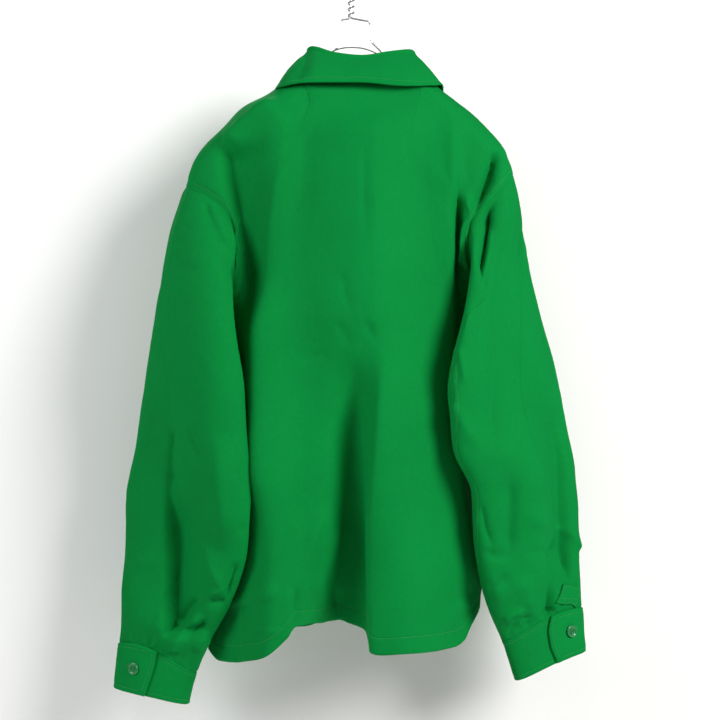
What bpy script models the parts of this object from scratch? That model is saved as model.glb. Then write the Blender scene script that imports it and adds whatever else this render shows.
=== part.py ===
# Unlined cotton-twill blouson on a wire hanger: stand-and-fall collar, set-in
# sleeves, buttoned cuffs, front zip. The wearer faces -Y and +Z is up, so the
# wearer's left is +X. The origin is the inner top of the hanger's hook.
# Sizes below are millimetres; MM turns them into the scene's metres.
import math

import bmesh
import bpy
import numpy as np
from mathutils import Matrix, Vector

MM = 0.001
WALL = 1.6            # body and sleeve cloth with its seam allowances
CUFF_WALL = 2.4       # two layers with stiffening
COLLAR_WALL = 2.4
TAPE_WALL = 0.7
PATCH_WALL = 1.2
SEAM = 0.3            # left open between neighbouring pieces
ARMHOLE_GAP = 3.2     # the sleeve meets the body at an angle, so it stands further off
NECK_X, NECK_Y = -7.0, -6.0
NECK_HALF_WIDE, NECK_HALF_DEEP = 77.0, 46.0
NECK_SIDE_Z, NECK_BACK_DROP, NECK_FRONT_DROP = -147.0, 12.0, 65.0
NECK_S = 0.42         # share of a panel's half width that lies along the neck
SHOULDER_ROUND = 26.0
BACK_FULLNESS, FRONT_FULLNESS = 1.4, 1.0
UNDERARM_L, UNDERARM_R = 0.61, 0.58
CAP_FULLNESS = 8.0    # how far the upper sleeve stands out beyond a plain curve
TIP_R = 0.6           # the right sleeve leaves its shoulder tip this much less outward than the left
SHOULDER_SHIFT, SIDE_SHIFT = 0.25, 0.95
WIRE = 1.1            # hanger wire radius
HOOK_INNER = 14.0
WOUND_RADIUS, WOUND_PITCH = 3.5, 7.6
ARM_Y, ARM_REACH, BAR_Z = -4.0, 160.0, -238.0
BRACE_WIRE = 0.8
CUFF_LAP = 3.6        # how far the button's end stands over the end beneath it
BUTTON_SINK = 0.8
ZIP_S = 0.0165        # half the gap between the two front edges
CHAIN_S = 0.0098
TAPE_S = (0.003, 0.05)
CHAIN_WALL, CHAIN_DEPTH = 1.6, -0.15
TAPE_DEPTH = WALL / 2 + SEAM + TAPE_WALL / 2 + 0.1
ZIP_FOOT = 0.008
SLIDER_V = 0.962
PLATE_Y, PIN_Y = 2.65, 6.8
PIN_RADIUS, EYE_RADIUS, LUG_WALL = 0.9, 2.3, 1.3
TAB_WIDE, TAB_LONG = 4.4, 28.0

# Where each grid has its rows and columns. Panel rows lie closer near the shoulder.
ROWS = np.concatenate([1 - np.linspace(1, 0, 25)[:-1] ** 1.5, [0.9982, 1.0]])
EDGE_S = 1 - SEAM / 2 / 240
BACK_COLUMNS = np.concatenate([
    np.linspace(-EDGE_S, -NECK_S, 10),
    np.linspace(-NECK_S, NECK_S, 14)[1:-1],
    np.linspace(NECK_S, EDGE_S, 10),
])
FRONT_COLUMNS = np.concatenate([
    [ZIP_S, 0.06],
    np.linspace(0.12, NECK_S, 6),
    np.linspace(NECK_S, EDGE_S, 9)[1:],
])
SLEEVE_ENDS = 6       # the row of RINGS_ where the sleeve is sewn to its cuff
SLEEVE_ANGLES = np.arange(0, 360, 15.0)
SLEEVE_ROWS = np.concatenate([[0.0, 0.1, 0.25, 0.42, 0.6, 0.8], np.linspace(1, SLEEVE_ENDS + 1, 13)])
CUFF_ANGLES = np.concatenate([[-34, -24, -12], np.arange(0, 345, 15.0), [352, 359]])
LAP_FROM = 270        # from here on a cuff's angles are stretched to its button end
# Where a cuff's button end stops, as angles from its top to its foot, then its button's angle and row.
LAP_ENDS_L, BUTTON_L = (11, 10, 6, 1), (-18.5, 0.5)
LAP_ENDS_R, BUTTON_R = (1, 7, 7, 2), (-26, 0.48)
# The placket end's corners as angle and row of RINGS_R: the upper two, then the lower two.
PLACKET = ((-24, 4.45), (-57, 4.95)), ((-8, 4.97), (-43, 5.9))
COLLAR_ANGLES = np.concatenate([[-171], np.linspace(-160, 160, 33), [171]])
COLLAR_ROWS = (0, 0.2, 0.4, 0.45, 0.5, 0.55, 0.6, 0.75, 0.9, 1)

# Side and armhole edge: v up the edge, back panel x and y, front panel x and y.
EDGE_L = (
    (0.00, 175, 0, 175, 0),
    (0.10, 175, -16, 175, -16),
    (0.30, 172, -42, 172, -42),
    (0.50, 168, -52, 168, -52),
    (0.61, 170, -46, 170, -46),
    (0.66, 164, -24, 166, -52),
    (0.72, 153, 8, 154, -52),
    (0.80, 144, 32, 143, -49),
    (0.88, 140, 42, 139, -45),
    (0.93, 146, 42, 150, -41),
    (0.965, 168, 40, 172, -38),
    (1.00, 202, 38, 202, -36),
)
EDGE_R = (
    (0.00, -158, -6, -158, -6),
    (0.10, -162, -20, -162, -20),
    (0.30, -166, -42, -166, -42),
    (0.48, -164, -52, -164, -52),
    (0.58, -166, -46, -166, -46),
    (0.64, -161, -24, -162, -52),
    (0.71, -151, 8, -150, -52),
    (0.79, -143, 32, -141, -49),
    (0.87, -141, 44, -138, -45),
    (0.92, -160, 44, -152, -41),
    (0.96, -181, 40, -176, -38),
    (1.00, -198, 38, -198, -36),
)
# Depth at mid back and mid front: v, back y, front y.
MIDDLE = (
    (0.00, 72, -80),
    (0.20, 74, -84),
    (0.40, 74, -86),
    (0.60, 70, -82),
    (0.75, 62, -72),
    (0.88, 54, -62),
    (0.95, 50, -57),
    (1.00, 46, -54),
)
# Hem and shoulder ridge: x, z.
HEM_BACK = (
    (-158, -802),
    (-145, -821),
    (-136, -837),
    (-124, -842),
    (-100, -840),
    (-68, -837),
    (-45, -839),
    (-27, -833),
    (-8, -820),
    (17, -815),
    (60, -812),
    (74, -817),
    (84, -831),
    (100, -844),
    (118, -852),
    (141, -860),
    (160, -862),
    (175, -852),
)
HEM_FRONT = (
    (-158, -802),
    (-120, -812),
    (-60, -822),
    (0, -828),
    (60, -834),
    (130, -846),
    (175, -852),
)
RIDGE_L = ((70, -147), (107, -176), (132, -192), (156, -216), (182, -241), (194, -260), (202, -285))
RIDGE_R = ((84, -147), (112, -169), (141, -191), (167, -216), (188, -241), (194, -256), (198, -270))
# Body folds: x at three heights z, half width and height off the panel at each.
FOLDS_BACK = (
    ((81, -175), (95, -430), (93, -850), (22, 31, 34), (4, 12, 34)),
    ((-3, -480), (-3, -690), (30, -850), (14, 24, 42), (0, -24, -58)),
    ((-55, -250), (-62, -560), (-75, -850), (22, 36, 34), (5, 12, 34)),
)
FOLDS_FRONT = (
    ((96, -250), (116, -520), (128, -850), (24, 34, 34), (3, 8, 14)),
    ((55, -400), (58, -620), (62, -850), (16, 22, 26), (0, -10, -30)),
    ((-45, -380), (-55, -620), (-64, -850), (16, 22, 26), (0, -8, -26)),
    ((-95, -250), (-112, -520), (-122, -850), (24, 34, 34), (3, 8, 16)),
)
# Sleeve sections: inner edge x y z, outer edge x y z, half thickness, how far the outside is drawn up.
RINGS_L = (
    (132, 79, -545, 250, -57, -545, 31, 0),
    (127, 78, -610, 260, -54, -606, 30, 0),
    (122, 78, -670, 269, -46, -660, 31, 0),
    (125, 72, -725, 275, -40, -710, 30, 0),
    (146, 54, -790, 280, -30, -765, 27, 1),
    (172, 34, -838, 284, -21, -808, 24, 6),
    (190, 19, -879, 286, -18, -852, 20, 16),
    (199, 16, -916, 291, -15, -903, 19, 4),
)
RINGS_R = (
    (-118, 92, -545, -260, -45, -545, 34, 0),
    (-124, 86, -602, -268, -45, -590, 34, 0),
    (-147, 74, -655, -276, -45, -640, 33, 0),
    (-150, 64, -710, -282, -42, -690, 31, 0),
    (-162, 46, -780, -282, -34, -745, 28, 1),
    (-176, 32, -820, -283, -24, -780, 24, 4),
    (-185, 24, -840, -284, -20, -808, 20, 14),
    (-201, 19, -887, -287, -16, -859, 19, 8),
)
# How the sleeve leaves the armhole, by angle round it: out, back, down.
LEAVES = (
    (0, 0.45, 0.0, 0.90),
    (60, 0.20, 0.60, 0.75),
    (100, 0.20, 0.75, 0.60),
    (180, 0.75, 0.10, 0.40),
    (225, 0.75, -0.20, 0.45),
    (270, 0.60, -0.50, 0.60),
    (360, 0.45, 0.0, 0.90),
)
# The hanger below its hook, its two arms from the neck outwards, its bar, and its
# way back up to the neck, then the thin brace between the two legs: x, z.
STEM = (
    (5.5, -31),
    (1.6, -38),
    (0, -46),
    (0, -74),
    (3, -78.5),
    (11, -79.5),
    (13.6, -82),
    (14, -106),
    (17, -114),
)
BAR = ((158, -230), (154, -236), (146, BAR_Z), (-150, BAR_Z), (-158, -236), (-165, -230))
RETURN = ((-37, -119), (-26, -108), (-24, -104), (-24, -86), (-21, -81.5), (-12, -80))
BRACE = (
    (21, -118),
    (14, -115.6),
    (7, -114.4),
    (-2, -114),
    (-12, -114.8),
    (-18, -116.2),
    (-25, -118.6),
    (-32, -122),
)
ARM_L = ((62, -148), (80, -159), (107, -181), (132, -198), (152, -219))
ARM_R = ((70, -149.5), (90, -157), (112, -175), (141, -197.5), (160, -216))
# Half of the button: radius, height.
BUTTON_PROFILE = ((0, 2.2), (4.6, 2.2), (5.4, 3.0), (6.9, 3.0), (7.6, 2.0), (7.6, 1.0), (6.6, 0), (0, 0))
# Sleeve folds: angle and row at the top and the foot, half width in degrees, height.
FOLDS_SLEEVE_L = ((-10, 0.9, 10, 4.6, 26, -7), (-60, 1.6, -50, 4.8, 24, 5))
FOLDS_SLEEVE_R = ((20, 0.6, 8, 4.2, 20, 7), (-32, 1.2, -28, 4.6, 22, -6))
# Collar at angle round the neck: fold x y z, outer edge x y z.
COLLAR = (
    (-172, -15, -50, -184, -50, -76, -258),
    (-150, -43, -49, -164, -82, -71, -232),
    (-135, -59, -42, -147, -98, -65, -208),
    (-120, -70, -31, -133, -110, -55, -186),
    (-105, -76, -19, -124, -114, -32, -168),
    (-90, -76, -6, -119, -113, -4, -163),
    (-75, -74, 3, -118, -110, 22, -164),
    (-60, -69, 10, -119, -103, 42, -168),
    (-30, -44, 20, -124, -62, 57, -172),
    (0, -13, 23, -129, -8, 58, -168),
    (30, 20, 21, -125, 50, 57, -168),
    (60, 43, 11, -116, 93, 42, -169),
    (75, 49, 3, -114, 104, 22, -167),
    (90, 51, -6, -114, 107, -2, -168),
    (105, 51, -19, -120, 107, -32, -172),
    (120, 46, -32, -129, 102, -55, -190),
    (135, 37, -43, -144, 90, -65, -214),
    (150, 23, -50, -162, 72, -71, -238),
    (172, -1, -50, -184, 38, -76, -260),
)


def lerp(a, b, t):
    return a + (b - a) * t


def ease(t):
    t = np.clip(t, 0, 1)
    return t * t * (3 - 2 * t)


def smooth(xs, ys, x):
    """A cubic through the points that makes no new high or low between them."""
    xs, ys, x = (np.asarray(part, float) for part in (xs, ys, x))
    wide = np.diff(xs)
    slope = np.diff(ys) / wide
    turn = slope[1:] * slope[:-1] > 0
    total = np.where(turn, slope[1:] + slope[:-1], 1.0)
    at = np.concatenate([slope[:1], np.where(turn, 2 * slope[1:] * slope[:-1] / total, 0), slope[-1:]])
    i = np.clip(np.searchsorted(xs, x) - 1, 0, len(xs) - 2)
    t = np.clip((x - xs[i]) / wide[i], 0, 1)
    ends = ys[i] * (1 + 2 * t) * (1 - t) ** 2 + ys[i + 1] * t * t * (3 - 2 * t)
    return ends + wide[i] * (at[i] * t * (1 - t) ** 2 - at[i + 1] * t * t * (1 - t))


def column(rows, key, value, x):
    rows = np.asarray(rows, float)
    return smooth(rows[:, key], rows[:, value], x)


def folds(rows, x, z):
    """The height off the panel of the folds at x, z: soft ridges, and troughs where it is negative."""
    total = np.zeros(np.broadcast(x, z).shape)
    for top, mid, foot, wide, high in rows:
        heights = (foot[1], mid[1], top[1])
        centre = smooth(heights, (foot[0], mid[0], top[0]), z)
        half = smooth(heights, wide[::-1], z)
        rise = smooth(heights, high[::-1], z) * ease((top[1] + 60 - z) / 60)
        total = total + rise * np.exp(-(((x - centre) / half) ** 2))
    return total


def neck(angle):
    """The neck seam at an angle from the centre back."""
    turn = np.radians(angle)
    x = NECK_X + NECK_HALF_WIDE * np.sin(turn)
    y = NECK_Y + NECK_HALF_DEEP * np.cos(turn)
    drop = np.where(np.cos(turn) > 0, NECK_BACK_DROP, NECK_FRONT_DROP)
    return x, y, NECK_SIDE_Z - drop * np.cos(turn) ** 2


def top_line(s, front):
    """The neck seam between s = -NECK_S and NECK_S, and the shoulder ridge beyond."""
    turn = 90 * np.clip(s / NECK_S, -1, 1)
    nx, ny, nz = neck(180 - turn if front else turn)
    out = np.sin(np.clip((np.abs(s) - NECK_S) / (1 - NECK_S), 0, 1) * math.pi / 2)
    left = lerp(RIDGE_L[0][0], RIDGE_L[-1][0], out)
    right = lerp(RIDGE_R[0][0], RIDGE_R[-1][0], out)
    x = np.where(s > 0, left, -right)
    z = np.where(s > 0, column(RIDGE_L, 0, 1, left), column(RIDGE_R, 0, 1, right))
    y = lerp(NECK_Y, 0, out)
    inside = np.abs(s) < NECK_S
    return np.where(inside, nx, x), np.where(inside, ny, y), np.where(inside, nz, z)


def body(s, v, front=False):
    """A point of the back or front: s from -1 at the right edge to 1 at the left, v from hem to top."""
    s, v = np.broadcast_arrays(np.asarray(s, float), np.asarray(v, float))
    xcol, ycol, mcol = (3, 4, 2) if front else (1, 2, 1)
    left, right = column(EDGE_L, 0, xcol, v), column(EDGE_R, 0, xcol, v)
    tx, ty, tz = top_line(s, front)
    tips = EDGE_L[-1][1], EDGE_R[-1][1]
    at_top = (tx - (tips[0] + tips[1]) / 2) / ((tips[0] - tips[1]) / 2)
    across = lerp(np.sin(s * math.pi / 2), at_top, ease((v - 0.72) / 0.28))
    x = (left + right) / 2 + (left - right) / 2 * across
    hem_x = (EDGE_L[0][1] + EDGE_R[0][1]) / 2 + (EDGE_L[0][1] - EDGE_R[0][1]) / 2 * np.sin(s * math.pi / 2)
    hem_z = column(HEM_FRONT if front else HEM_BACK, 0, 1, hem_x)
    z = lerp(hem_z, tz, v)
    side = np.where(s > 0, column(EDGE_L, 0, ycol, v), column(EDGE_R, 0, ycol, v))
    middle = column(MIDDLE, 0, mcol, v)
    y = side + (middle - side) * np.cos(s * math.pi / 2) ** (FRONT_FULLNESS if front else BACK_FULLNESS)
    high = folds(FOLDS_FRONT if front else FOLDS_BACK, x, z) * ease((1 - np.abs(s)) / 0.15)
    y = y + (-high if front else high)
    near = 1 - np.clip((tz - z) / SHOULDER_ROUND, 0, 1)
    y = ty + (y - ty) * np.sqrt(1 - near**2)
    return np.stack([x, y, z], axis=-1)


def armhole(left, angle):
    """The armhole seam: 0 at the shoulder tip, 90 at the back, 180 under the arm, 270 at the front."""
    under = UNDERARM_L if left else UNDERARM_R
    end = 1.0 if left else -1.0
    v = np.linspace(1, under, 60)
    back = body(np.full(60, end), v)
    fore = body(np.full(60, end), v, True)
    loop = []
    for edge in (back, fore):
        run = np.concatenate([[0], np.cumsum(np.linalg.norm(np.diff(edge, axis=0), axis=1))])
        loop.append((edge, run / run[-1]))
    share = np.where(angle <= 180, angle, 360 - angle) / 180
    points = [
        np.stack([np.interp(share, run, edge[:, k]) for k in range(3)], axis=-1)
        for edge, run in loop
    ]
    return np.where((angle <= 180)[..., None], points[0], points[1])


def ring(left, angle, row):
    """A sleeve section at a row of the table, where rows between two are worked out from both."""
    rows = np.asarray(RINGS_L if left else RINGS_R, float)
    keys = np.arange(len(rows))
    at = [smooth(keys, rows[:, k], row) for k in range(8)]
    inner = np.stack(at[:3], axis=-1)
    outer = np.stack(at[3:6], axis=-1)
    along = (inner - outer) / 2
    flat = np.stack([-along[..., 1], along[..., 0], np.zeros_like(row)], axis=-1)
    flat = flat / np.linalg.norm(flat, axis=-1, keepdims=True) * (1 if left else -1)
    turn = np.radians(angle - 90)[..., None]
    lift = np.zeros(np.broadcast(angle, row).shape)
    for a0, r0, a1, r1, half, high in FOLDS_SLEEVE_L if left else FOLDS_SLEEVE_R:
        there = lerp(a0, a1, (row - r0) / (r1 - r0))
        away = (angle - there + 180) % 360 - 180
        ends = ease((row - r0 + 0.6) / 1.2) * ease((r1 + 0.6 - row) / 1.2)
        lift = lift + high * np.exp(-((away / half) ** 2)) * ends
    thick = at[6][..., None]
    out = along * np.cos(turn) / np.linalg.norm(along, axis=-1, keepdims=True) + flat * np.sin(turn)
    middle = (inner + outer) / 2
    middle[..., 2] += at[7] * (0.5 - 0.5 * np.sin(turn[..., 0])) ** 4
    return middle + along * np.cos(turn) + flat * thick * np.sin(turn) + out * lift[..., None]


def sleeve(left, angle, t):
    """The sleeve: t from 0 at the armhole to 1 at the first section, then up to SLEEVE_ENDS + 1."""
    angle, t = np.broadcast_arrays(np.asarray(angle, float), np.asarray(t, float))
    angle = angle % 360
    start = armhole(left, angle)
    first = ring(left, angle, np.zeros_like(t))
    onward = ring(left, angle, np.full_like(t, 0.5)) - first
    turns = [r[0] for r in LEAVES]
    way = np.stack([np.interp(angle, turns, [r[k] for r in LEAVES]) for k in (1, 2, 3)], axis=-1)
    spread = 1 if left else -lerp(TIP_R, 1, np.sin(np.radians(angle) / 2) ** 2)
    way = np.stack([way[..., 0] * spread, way[..., 1], -way[..., 2]], axis=-1)
    far = np.linalg.norm(first - start, axis=-1, keepdims=True)
    way = way / np.linalg.norm(way, axis=-1, keepdims=True) * far * 0.9
    onward = onward / np.linalg.norm(onward, axis=-1, keepdims=True) * far * 1.1
    u = np.clip(t, 0, 1)[..., None]
    cap = start * (1 + 2 * u) * (1 - u) ** 2 + first * u * u * (3 - 2 * u)
    cap = cap + way * u * (1 - u) ** 2 - onward * u * u * (1 - u)
    along = np.clip(t, 0, 1)
    full = CAP_FULLNESS * np.cos(np.radians(angle + 35) / 2) ** 4 * along**3 * (1 - along) ** 2 / 0.035
    cap[..., 0] += full if left else -full
    return np.where((t < 1)[..., None], cap, ring(left, angle, np.clip(t - 1, 0, SLEEVE_ENDS)))


def collar(angle, w):
    """The collar: w from 0 at the neck seam over the fold at 0.5 to 1 at the outer edge."""
    angle, w = np.broadcast_arrays(np.asarray(angle, float), np.asarray(w, float))
    rows = np.asarray(COLLAR, float)
    fold = np.stack([smooth(rows[:, 0], rows[:, k], angle) for k in (1, 2, 3)], axis=-1)
    edge = np.stack([smooth(rows[:, 0], rows[:, k], angle) for k in (4, 5, 6)], axis=-1)
    seam = np.stack(neck(angle), axis=-1)
    out = edge - fold
    out[..., 2] = 0
    out = out / np.linalg.norm(out, axis=-1, keepdims=True)
    seam = seam + np.array([0, 0, 2.4])
    turn = np.clip((w - 0.4) / 0.2, 0, 1) * math.pi
    radius = 3.4
    top = fold - out * radius * np.cos(turn)[..., None]
    top[..., 2] = top[..., 2] + radius * (np.sin(turn) - 1)
    stand = seam + (top - seam) * np.clip(w / 0.4, 0, 1)[..., None]
    down = np.clip((w - 0.6) / 0.4, 0, 1)[..., None]
    fall = top + (edge - top) * down
    bulge = 1 + 6 * np.cos(np.radians(angle)) ** 2 + 2.5 * ease(angle / 90)
    bulge = bulge + 15 * ease((np.abs(angle) - 90) / 35)
    fall = fall + out * bulge[..., None] * np.sin(down * math.pi)
    return np.where((w < 0.4)[..., None], stand, np.where((w > 0.6)[..., None], fall, top))


def normals(points):
    """Unit normals of a grid of points."""
    n = np.cross(np.gradient(points, axis=0), np.gradient(points, axis=1))
    return n / np.linalg.norm(n, axis=-1, keepdims=True)


def collection(name):
    made = bpy.data.collections.new(name)
    bpy.context.scene.collection.children.link(made)
    return made


def material(name, colour, metallic=0.0, rough=0.8):
    made = bpy.data.materials.new(name)
    made.use_nodes = True
    shader = made.node_tree.nodes["Principled BSDF"]
    shader.inputs["Base Color"].default_value = (*colour, 1)
    shader.inputs["Metallic"].default_value = metallic
    shader.inputs["Roughness"].default_value = rough
    return made


def add(name, data, slot, group):
    made = bpy.data.objects.new(name, data)
    data.materials.append(slot)
    group.objects.link(made)
    return made


def sheet(name, points, wall, slot, closed=False):
    """A cloth wall centred on a grid of points, round in its first direction where closed."""
    m, n = points.shape[:2]
    last = m if closed else m - 1
    faces = [
        (i * n + j, (i + 1) % m * n + j, (i + 1) % m * n + j + 1, i * n + j + 1)
        for i in range(last)
        for j in range(n - 1)
    ]
    mesh = bpy.data.meshes.new(name)
    mesh.from_pydata((points.reshape(-1, 3) * MM).tolist(), [], faces)
    mesh.shade_smooth()
    made = add(name, mesh, slot, PARTS)
    thick = made.modifiers.new("wall", "SOLIDIFY")
    thick.thickness = wall * MM
    thick.offset = 0
    return made


def primitive(name, make, slot, group, place, **sizes):
    """A bmesh primitive in the frame of the object it belongs to."""
    mesh = bpy.data.meshes.new(name)
    shape = bmesh.new()
    make(shape, **sizes)
    shape.to_mesh(mesh)
    shape.free()
    made = add(name, mesh, slot, group)
    made.matrix_world = place
    return made


def box(name, size, centre, slot, group, place):
    matrix = Matrix.Translation(Vector(centre) * MM) @ Matrix.Diagonal((*(Vector(size) * MM), 1))
    return primitive(name, bmesh.ops.create_cube, slot, group, place, size=1, matrix=matrix)


def bar(name, radius, length, slot, group, place):
    """A round bar along the frame's X, through its origin."""
    return primitive(
        name, bmesh.ops.create_cone, slot, group, place, cap_ends=True, segments=12,
        radius1=radius * MM, radius2=radius * MM, depth=length * MM,
        matrix=Matrix.Rotation(math.pi / 2, 4, "Y"),
    )


def boolean(made, operation, helper):
    helper.hide_render = True
    helper.display_type = "WIRE"
    step = made.modifiers.new(helper.name, "BOOLEAN")
    step.operation = operation
    step.solver = "EXACT"
    step.object = helper


def frame_at(origin, right, up):
    """A frame with +X right, +Z up and +Y square to both, at a point in millimetres."""
    right = right / np.linalg.norm(right)
    ahead = np.cross(up, right)
    ahead = ahead / np.linalg.norm(ahead)
    up = np.cross(right, ahead)
    place = Matrix([[*row, 0] for row in np.stack([right, ahead, up], axis=1).tolist()] + [[0, 0, 0, 1]])
    place.translation = Vector(origin) * MM
    return place


def seam_shift(v):
    """Draws back and front apart in depth by a seam's gap, a little more below the arms."""
    shift = np.zeros((*v.shape, 3))
    shift[..., 1] = np.where(v < UNDERARM_L + 0.01, SIDE_SHIFT, SHOULDER_SHIFT)
    return shift


def make_back():
    s, v = np.meshgrid(BACK_COLUMNS, ROWS, indexing="ij")
    sheet("back", body(s, v) + seam_shift(v), WALL, CLOTH["back"])


def make_front(name, side):
    s, v = np.meshgrid(FRONT_COLUMNS * side, ROWS, indexing="ij")
    sheet(name, body(s, v, True) - seam_shift(v), WALL, CLOTH["front"])


def zip_strip(low, high, depth):
    """A strip along the zip, sunk behind the face of the fronts by a depth."""
    s, v = np.meshgrid(np.linspace(low, high, 3), np.clip(ROWS[:-2], ZIP_FOOT, None), indexing="ij")
    grid = body(s, v, True) - seam_shift(v)
    facing = normals(grid)
    return grid + facing * np.where(facing[..., 1:2] < 0, -depth, depth)


def make_sleeve(name, left):
    angle, t = np.meshgrid(SLEEVE_ANGLES, SLEEVE_ROWS, indexing="ij")
    grid = sleeve(left, angle, t)
    for row, beside, gap in ((0, 1, ARMHOLE_GAP), (-1, -2, 3 * SEAM)):
        step = grid[:, beside] - grid[:, row]
        grid[:, row] += step / np.linalg.norm(step, axis=-1, keepdims=True) * gap
    sheet(name, grid, WALL, CLOTH["sleeve"], closed=True)


def outward(left, angle, t):
    """The direction away from the middle of the wrist, at a point of the sleeve's end."""
    across = ring(left, angle, t) - ring(left, angle + 180, t)
    return across / np.linalg.norm(across, axis=-1, keepdims=True)


def lap_end(left, angle, t):
    """Stretches the last stretch of a cuff's angles to where its button end stops, from top to foot."""
    end = np.interp(t, np.linspace(0, 1, 4), LAP_ENDS_L if left else LAP_ENDS_R)
    stretch = (end + 360 - LAP_FROM) / (CUFF_ANGLES[-1] - LAP_FROM)
    return np.where(angle > LAP_FROM, LAP_FROM + (angle - LAP_FROM) * stretch, angle)


def make_cuff(name, left):
    """A band once round the wrist and over itself, with the button's end on top."""
    angle, t = np.meshgrid(CUFF_ANGLES, np.linspace(0, 1, 4), indexing="ij")
    lap = np.interp(angle, (CUFF_ANGLES[0], 250, 325, 360), (0, 0, CUFF_LAP, CUFF_LAP))
    angle = lap_end(left, angle, t)
    out = (CUFF_WALL - WALL) / 2 + lap
    t = t + SLEEVE_ENDS
    grid = ring(left, angle, t) + outward(left, angle, t) * out[..., None]
    sheet(name, grid, CUFF_WALL, CLOTH["cuff"])


def make_placket():
    """The square patch above the right cuff, moved out from the sleeve's own points."""
    across, down = np.meshgrid(np.linspace(0, 1, 4), np.linspace(0, 1, 6), indexing="ij")
    top, foot = (lerp(np.array(a), np.array(b), across[..., None]) for a, b in PLACKET)
    angle, row = np.moveaxis(lerp(top, foot, down[..., None]), -1, 0)
    grid = sleeve(False, angle, row + 1)
    facing = normals(grid)
    facing = facing * np.sign((facing * outward(False, angle, row)).sum(-1, keepdims=True))
    lift = WALL / 2 + 3 * SEAM + PATCH_WALL / 2
    sheet("placket_right", grid + facing * lift, PATCH_WALL, CLOTH["placket"])


def make_button(name, left):
    """A dished disc on the lapping end of the cuff, turned from its half profile."""
    at, row = BUTTON_L if left else BUTTON_R
    angle = np.array([at, at + 9, at - 9, at])
    spot, one, other, foot = ring(left, angle, SLEEVE_ENDS + np.array([row, row, row, row + 0.2]))
    facing = np.cross(one - other, foot - spot)
    facing = facing / np.linalg.norm(facing)
    facing = facing * np.sign(facing[1])
    centre = spot + facing * (CUFF_WALL - WALL / 2 + CUFF_LAP - BUTTON_SINK)
    mesh = bpy.data.meshes.new(name)
    profile = [(r * MM, 0, z * MM) for r, z in BUTTON_PROFILE]
    mesh.from_pydata(profile, [(k, k + 1) for k in range(len(profile) - 1)], [])
    made = add(name, mesh, BUTTON, PARTS)
    made.matrix_world = frame_at(centre, one - other, facing)
    turned = made.modifiers.new("turned", "SCREW")
    turned.steps = 20
    turned.render_steps = 20
    turned.use_merge_vertices = True
    turned.merge_threshold = 0.00001
    turned.use_smooth_shade = True


def make_collar():
    angle, w = np.meshgrid(COLLAR_ANGLES, COLLAR_ROWS, indexing="ij")
    sheet("collar", collar(angle, w), COLLAR_WALL, CLOTH["collar"])


def make_slider_and_tab():
    """The slider on the closed chain, and the tab that hangs on the slider's pin."""
    spot, above, below = body(np.zeros(3), np.array([SLIDER_V, SLIDER_V + 0.012, SLIDER_V - 0.012]), True)
    right = np.array([-1.0, 0, 0])
    face = frame_at(spot, right, above - below)
    slider = box("zip_slider", (9.4, 2.4, 13.0), (0, PLATE_Y, 0), METAL, PARTS, face)
    for side in (-1, 1):
        label = "lug_left" if side < 0 else "lug_right"
        spot = (side * (TAB_WIDE / 2 + 1.1), PIN_Y - 1.1, 0)
        boolean(slider, "UNION", box(label, (LUG_WALL, 5.4, 4.4), spot, METAL, CUTTERS, face))
    axis = face @ Matrix.Translation((0, PIN_Y * MM, 0))
    boolean(slider, "UNION", bar("pin", PIN_RADIUS, TAB_WIDE + 2.2, METAL, CUTTERS, axis))
    tab = bar("zip_pull", EYE_RADIUS, TAB_WIDE, METAL, PARTS, axis)
    drop = (0, 0, -TAB_LONG / 2 - PIN_RADIUS - 0.6)
    boolean(tab, "UNION", box("tab_plate", (TAB_WIDE, 1.4, TAB_LONG), drop, METAL, CUTTERS, axis))
    boolean(tab, "DIFFERENCE", bar("eye", PIN_RADIUS + 0.35, TAB_WIDE + 2, METAL, CUTTERS, axis))


def hanger_path():
    """One wire: hook, neck, left shoulder and arm, bar, right arm, then wound round the neck."""
    reach = HOOK_INNER + WIRE
    turns = np.radians(np.linspace(205, -42, 18))
    path = [(reach * math.cos(t), 0, reach * math.sin(t) - HOOK_INNER) for t in turns]
    path += [(x, 0, z) for x, z in STEM]
    path += [(x, ARM_Y * (1 - x / ARM_REACH), z) for x, z in ARM_L]
    path += [(x, 0, z) for x, z in BAR]
    path += [(-x, ARM_Y * (1 - x / ARM_REACH), z) for x, z in ARM_R[::-1]]
    path += [(x, 0, z) for x, z in RETURN]
    for turn in np.radians(200 + 45.0 * np.arange(25)):
        rise = -78 + (turn - math.radians(200)) * WOUND_PITCH / (2 * math.pi)
        path.append((WOUND_RADIUS * math.cos(turn), WOUND_RADIUS * math.sin(turn), rise))
    return path


def wire(name, path, radius):
    line = bpy.data.curves.new(name, "CURVE")
    line.dimensions = "3D"
    line.bevel_depth = radius * MM
    line.bevel_resolution = 2
    line.use_fill_caps = True
    run = line.splines.new("POLY")
    run.points.add(len(path) - 1)
    for point, at in zip(run.points, path):
        point.co = (*(np.asarray(at) * MM), 1)
    add(name, line, STEEL, PARTS)


for old in list(bpy.data.objects):
    bpy.data.objects.remove(old, do_unlink=True)
PARTS = collection("blouson_on_hanger")
CUTTERS = collection("cutters")
GREEN = (0.05, 0.33, 0.06)
CUTS = ("back", "front", "sleeve", "cuff", "collar", "placket")
CLOTH = {name: material(name + "_twill", GREEN) for name in CUTS}
TAPE = material("zip_tape", (0.05, 0.28, 0.06))
CHAIN = material("zip_chain", (0.05, 0.28, 0.06), 0.0, 0.4)
METAL = material("zip_metal", (0.6, 0.6, 0.58), 1.0, 0.3)
BUTTON = material("button", (0.06, 0.30, 0.07), 0.0, 0.35)
STEEL = material("hanger_wire", (0.62, 0.62, 0.62), 1.0, 0.3)

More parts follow.
